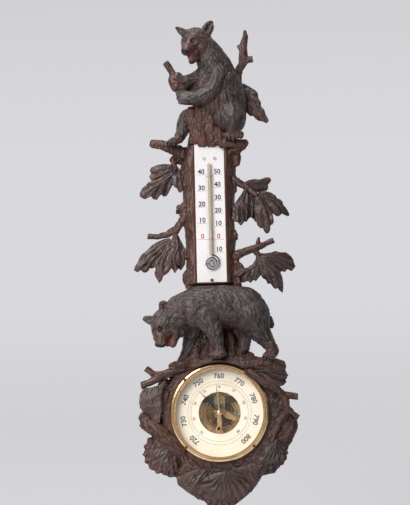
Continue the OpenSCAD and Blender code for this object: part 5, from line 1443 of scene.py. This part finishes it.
def rule(sheet, length, width, place, turn=0.0):
    """Adds one printed line, centred, lying along y before it is turned."""
    size = Matrix.Diagonal((width, length, 2 * INK_PROUD, 1))
    where = Matrix.Translation(place) @ Matrix.Rotation(math.radians(-turn), 4, "Z")
    bmesh.ops.create_cube(sheet, size=1, matrix=where @ size)


def ring(sheet, radius, width, place):
    """Adds one printed circle round a place in drawing millimetres."""
    x, y, z = place
    corner = sheet.verts.new((x + radius - width / 2, y, z - INK_PROUD))
    tall = bmesh.ops.extrude_vert_indiv(sheet, verts=[corner])
    top = tall["verts"][0]
    top.co.z = z + INK_PROUD
    across = bmesh.ops.extrude_edge_only(sheet, edges=tall["edges"])
    moved = [item for item in across["geom"] if isinstance(item, bmesh.types.BMVert)]
    bmesh.ops.translate(sheet, verts=moved, vec=(width, 0, 0))
    section = [corner, top, *moved, *across["geom"]]
    bmesh.ops.spin(sheet, geom=list({item for item in section if item.is_valid}), axis=(0, 0, 1),
                   cent=place, steps=120, angle=2 * math.pi, use_merge=True)


black_ink = ink("fired_black_print", "#18161A")
grey_ink = ink("fired_blue_grey_print", "#34323C")
red_ink = ink("fired_red_print", "#C02A34")
print("inks:", black_ink.name, grey_ink.name, red_ink.name)

# %% Thermometer scales
plate_x = (plate_low.x + plate_high.x) / 2
PLATE_FACE = plate_high.z
ZERO_Y = 228.5
LEFT_STEP = 2.1575  # millimetres for one degree of the left scale
RIGHT_STEP = LEFT_STEP * 40 / 50
black = bmesh.new()
red = bmesh.new()
for step, first, last, figure_x, figure_up, figure_size, long_x, short_x in (
    (LEFT_STEP, 0, 40, -11.0, 3.9, 6.2, -10.4, -4.6),
    (RIGHT_STEP, -10, 50, 10.2, 3.8, 6.0, 10.0, 4.6),
):
    for degrees in range(first, last + 1, 10):
        y = ZERO_Y + step * degrees
        sheet = red if degrees == 0 else black
        figures(sheet, str(abs(degrees)), figure_size, (plate_x + figure_x, y + figure_up, PLATE_FACE))
        rule(black, 13.5, 0.34, (plate_x + long_x, y, PLATE_FACE), 90)
    for degrees in range(-10, last + 1):
        y = ZERO_Y + step * degrees
        rule(black, 2.2 if degrees % 5 else 3.4, 0.18, (plate_x + short_x, y, PLATE_FACE), 90)
for x in (plate_x - 6.5, plate_x + 7.5):
    ring(black, 1.7, 0.8, (x, 336, PLATE_FACE))
as_piece(new_mesh(black, "print"), "scale_plate_print", black_ink)
as_piece(new_mesh(red, "print"), "scale_plate_zeros", red_ink)

# %% [markdown]
# ## Coiled bulb
#
# The thermometer's bulb is a thin glass tube wound in a flat coil, so that the mercury in it meets
# more air. The measured model has a plain round of the same size. A circle could be wound into a coil
# with a Screw modifier, but its turns would all be equally wide. A curve follows points that come
# nearer to the middle step by step, and its round bevel makes the tube. The glass is so thin that the
# mercury behind it gives the colour.

# %% Coil
COIL_TURNS = 2.5
COIL_RADIUS = 10.4
COIL_HEART = 1.4  # the radius at which the inner end of the coil stops
COIL_GLASS = 0.9  # half the thickness of the glass tube
STEPS_EACH_TURN = 36
bulb_low, bulb_high = drawing_box("thermometer_bulb")
centre = (bulb_low + bulb_high) / 2 - Vector((0, 1.0, 0))
coil = bpy.data.curves.new("coil", "CURVE")
coil.dimensions = "3D"
coil.bevel_depth = COIL_GLASS
coil.bevel_resolution = 3
coil.use_fill_caps = True
steps = int(COIL_TURNS * STEPS_EACH_TURN)
line = coil.splines.new("POLY")
line.points.add(steps)
for step in range(steps + 1):
    turn = 2 * math.pi * COIL_TURNS * step / steps
    away = COIL_RADIUS - (COIL_RADIUS - COIL_HEART) * step / steps
    place = centre + away * Vector((math.sin(turn), math.cos(turn), 0))
    line.points[step].co = (*place, 1)
holder = bpy.data.objects.new("coil", coil)
bpy.context.scene.collection.objects.link(holder)
ready = holder.evaluated_get(bpy.context.evaluated_depsgraph_get())
shape = bmesh.new()
shape.from_mesh(bpy.data.meshes.new_from_object(ready))
bpy.data.objects.remove(holder)
bmesh.ops.remove_doubles(shape, verts=shape.verts[:], dist=1e-4)
bmesh.ops.recalc_face_normals(shape, faces=shape.faces[:])
filled_glass = metal("mercury_behind_glass", "#78747A", 0.15, "#5A565C", 3)
as_piece(new_mesh(shape, "coil"), "thermometer_coil", filled_glass,
         replaced=["thermometer_bulb"])

# %% [markdown]
# ## Print on the dial
#
# The dial counts the air's pressure from 720 to 800 millimetres of mercury, with 760 at the top, so
# the scale leaves a gap at the foot. An Array modifier could repeat one mark round the middle, but
# every fifth and tenth mark is longer and the tens carry figures, so a loop places each by its angle.

# %% Dial print
DIAL_FACE = dial_high.z
LOW_PRESSURE, TOP_PRESSURE, HIGH_PRESSURE = 720, 760, 800
DEGREES_EACH = 3.4  # of turn for one millimetre of mercury
MARK_RADIUS = 37.6  # where the marks begin
marks = bmesh.new()
for pressure in range(LOW_PRESSURE, HIGH_PRESSURE + 1):
    turn = DEGREES_EACH * (pressure - TOP_PRESSURE)
    way = Vector((math.sin(math.radians(turn)), math.cos(math.radians(turn)), 0))
    face = Vector((0, 0, DIAL_FACE))
    tens = pressure % 10 == 0
    length = 4.0 if tens else 2.0 if pressure % 5 else 3.0
    rule(marks, length, 0.32 if tens else 0.2, way * (MARK_RADIUS + length / 2) + face, turn)
    if tens:
        figures(marks, str(pressure), 6.4, way * 48 + face, turn)
        figures(marks, str(pressure // 10), 3.0, way * 34.0 + face, turn)
for radius in (37.4, 41.8):
    ring(marks, radius, 0.3, (0, 0, DIAL_FACE))
as_piece(new_mesh(marks, "print"), "dial_print", grey_ink)
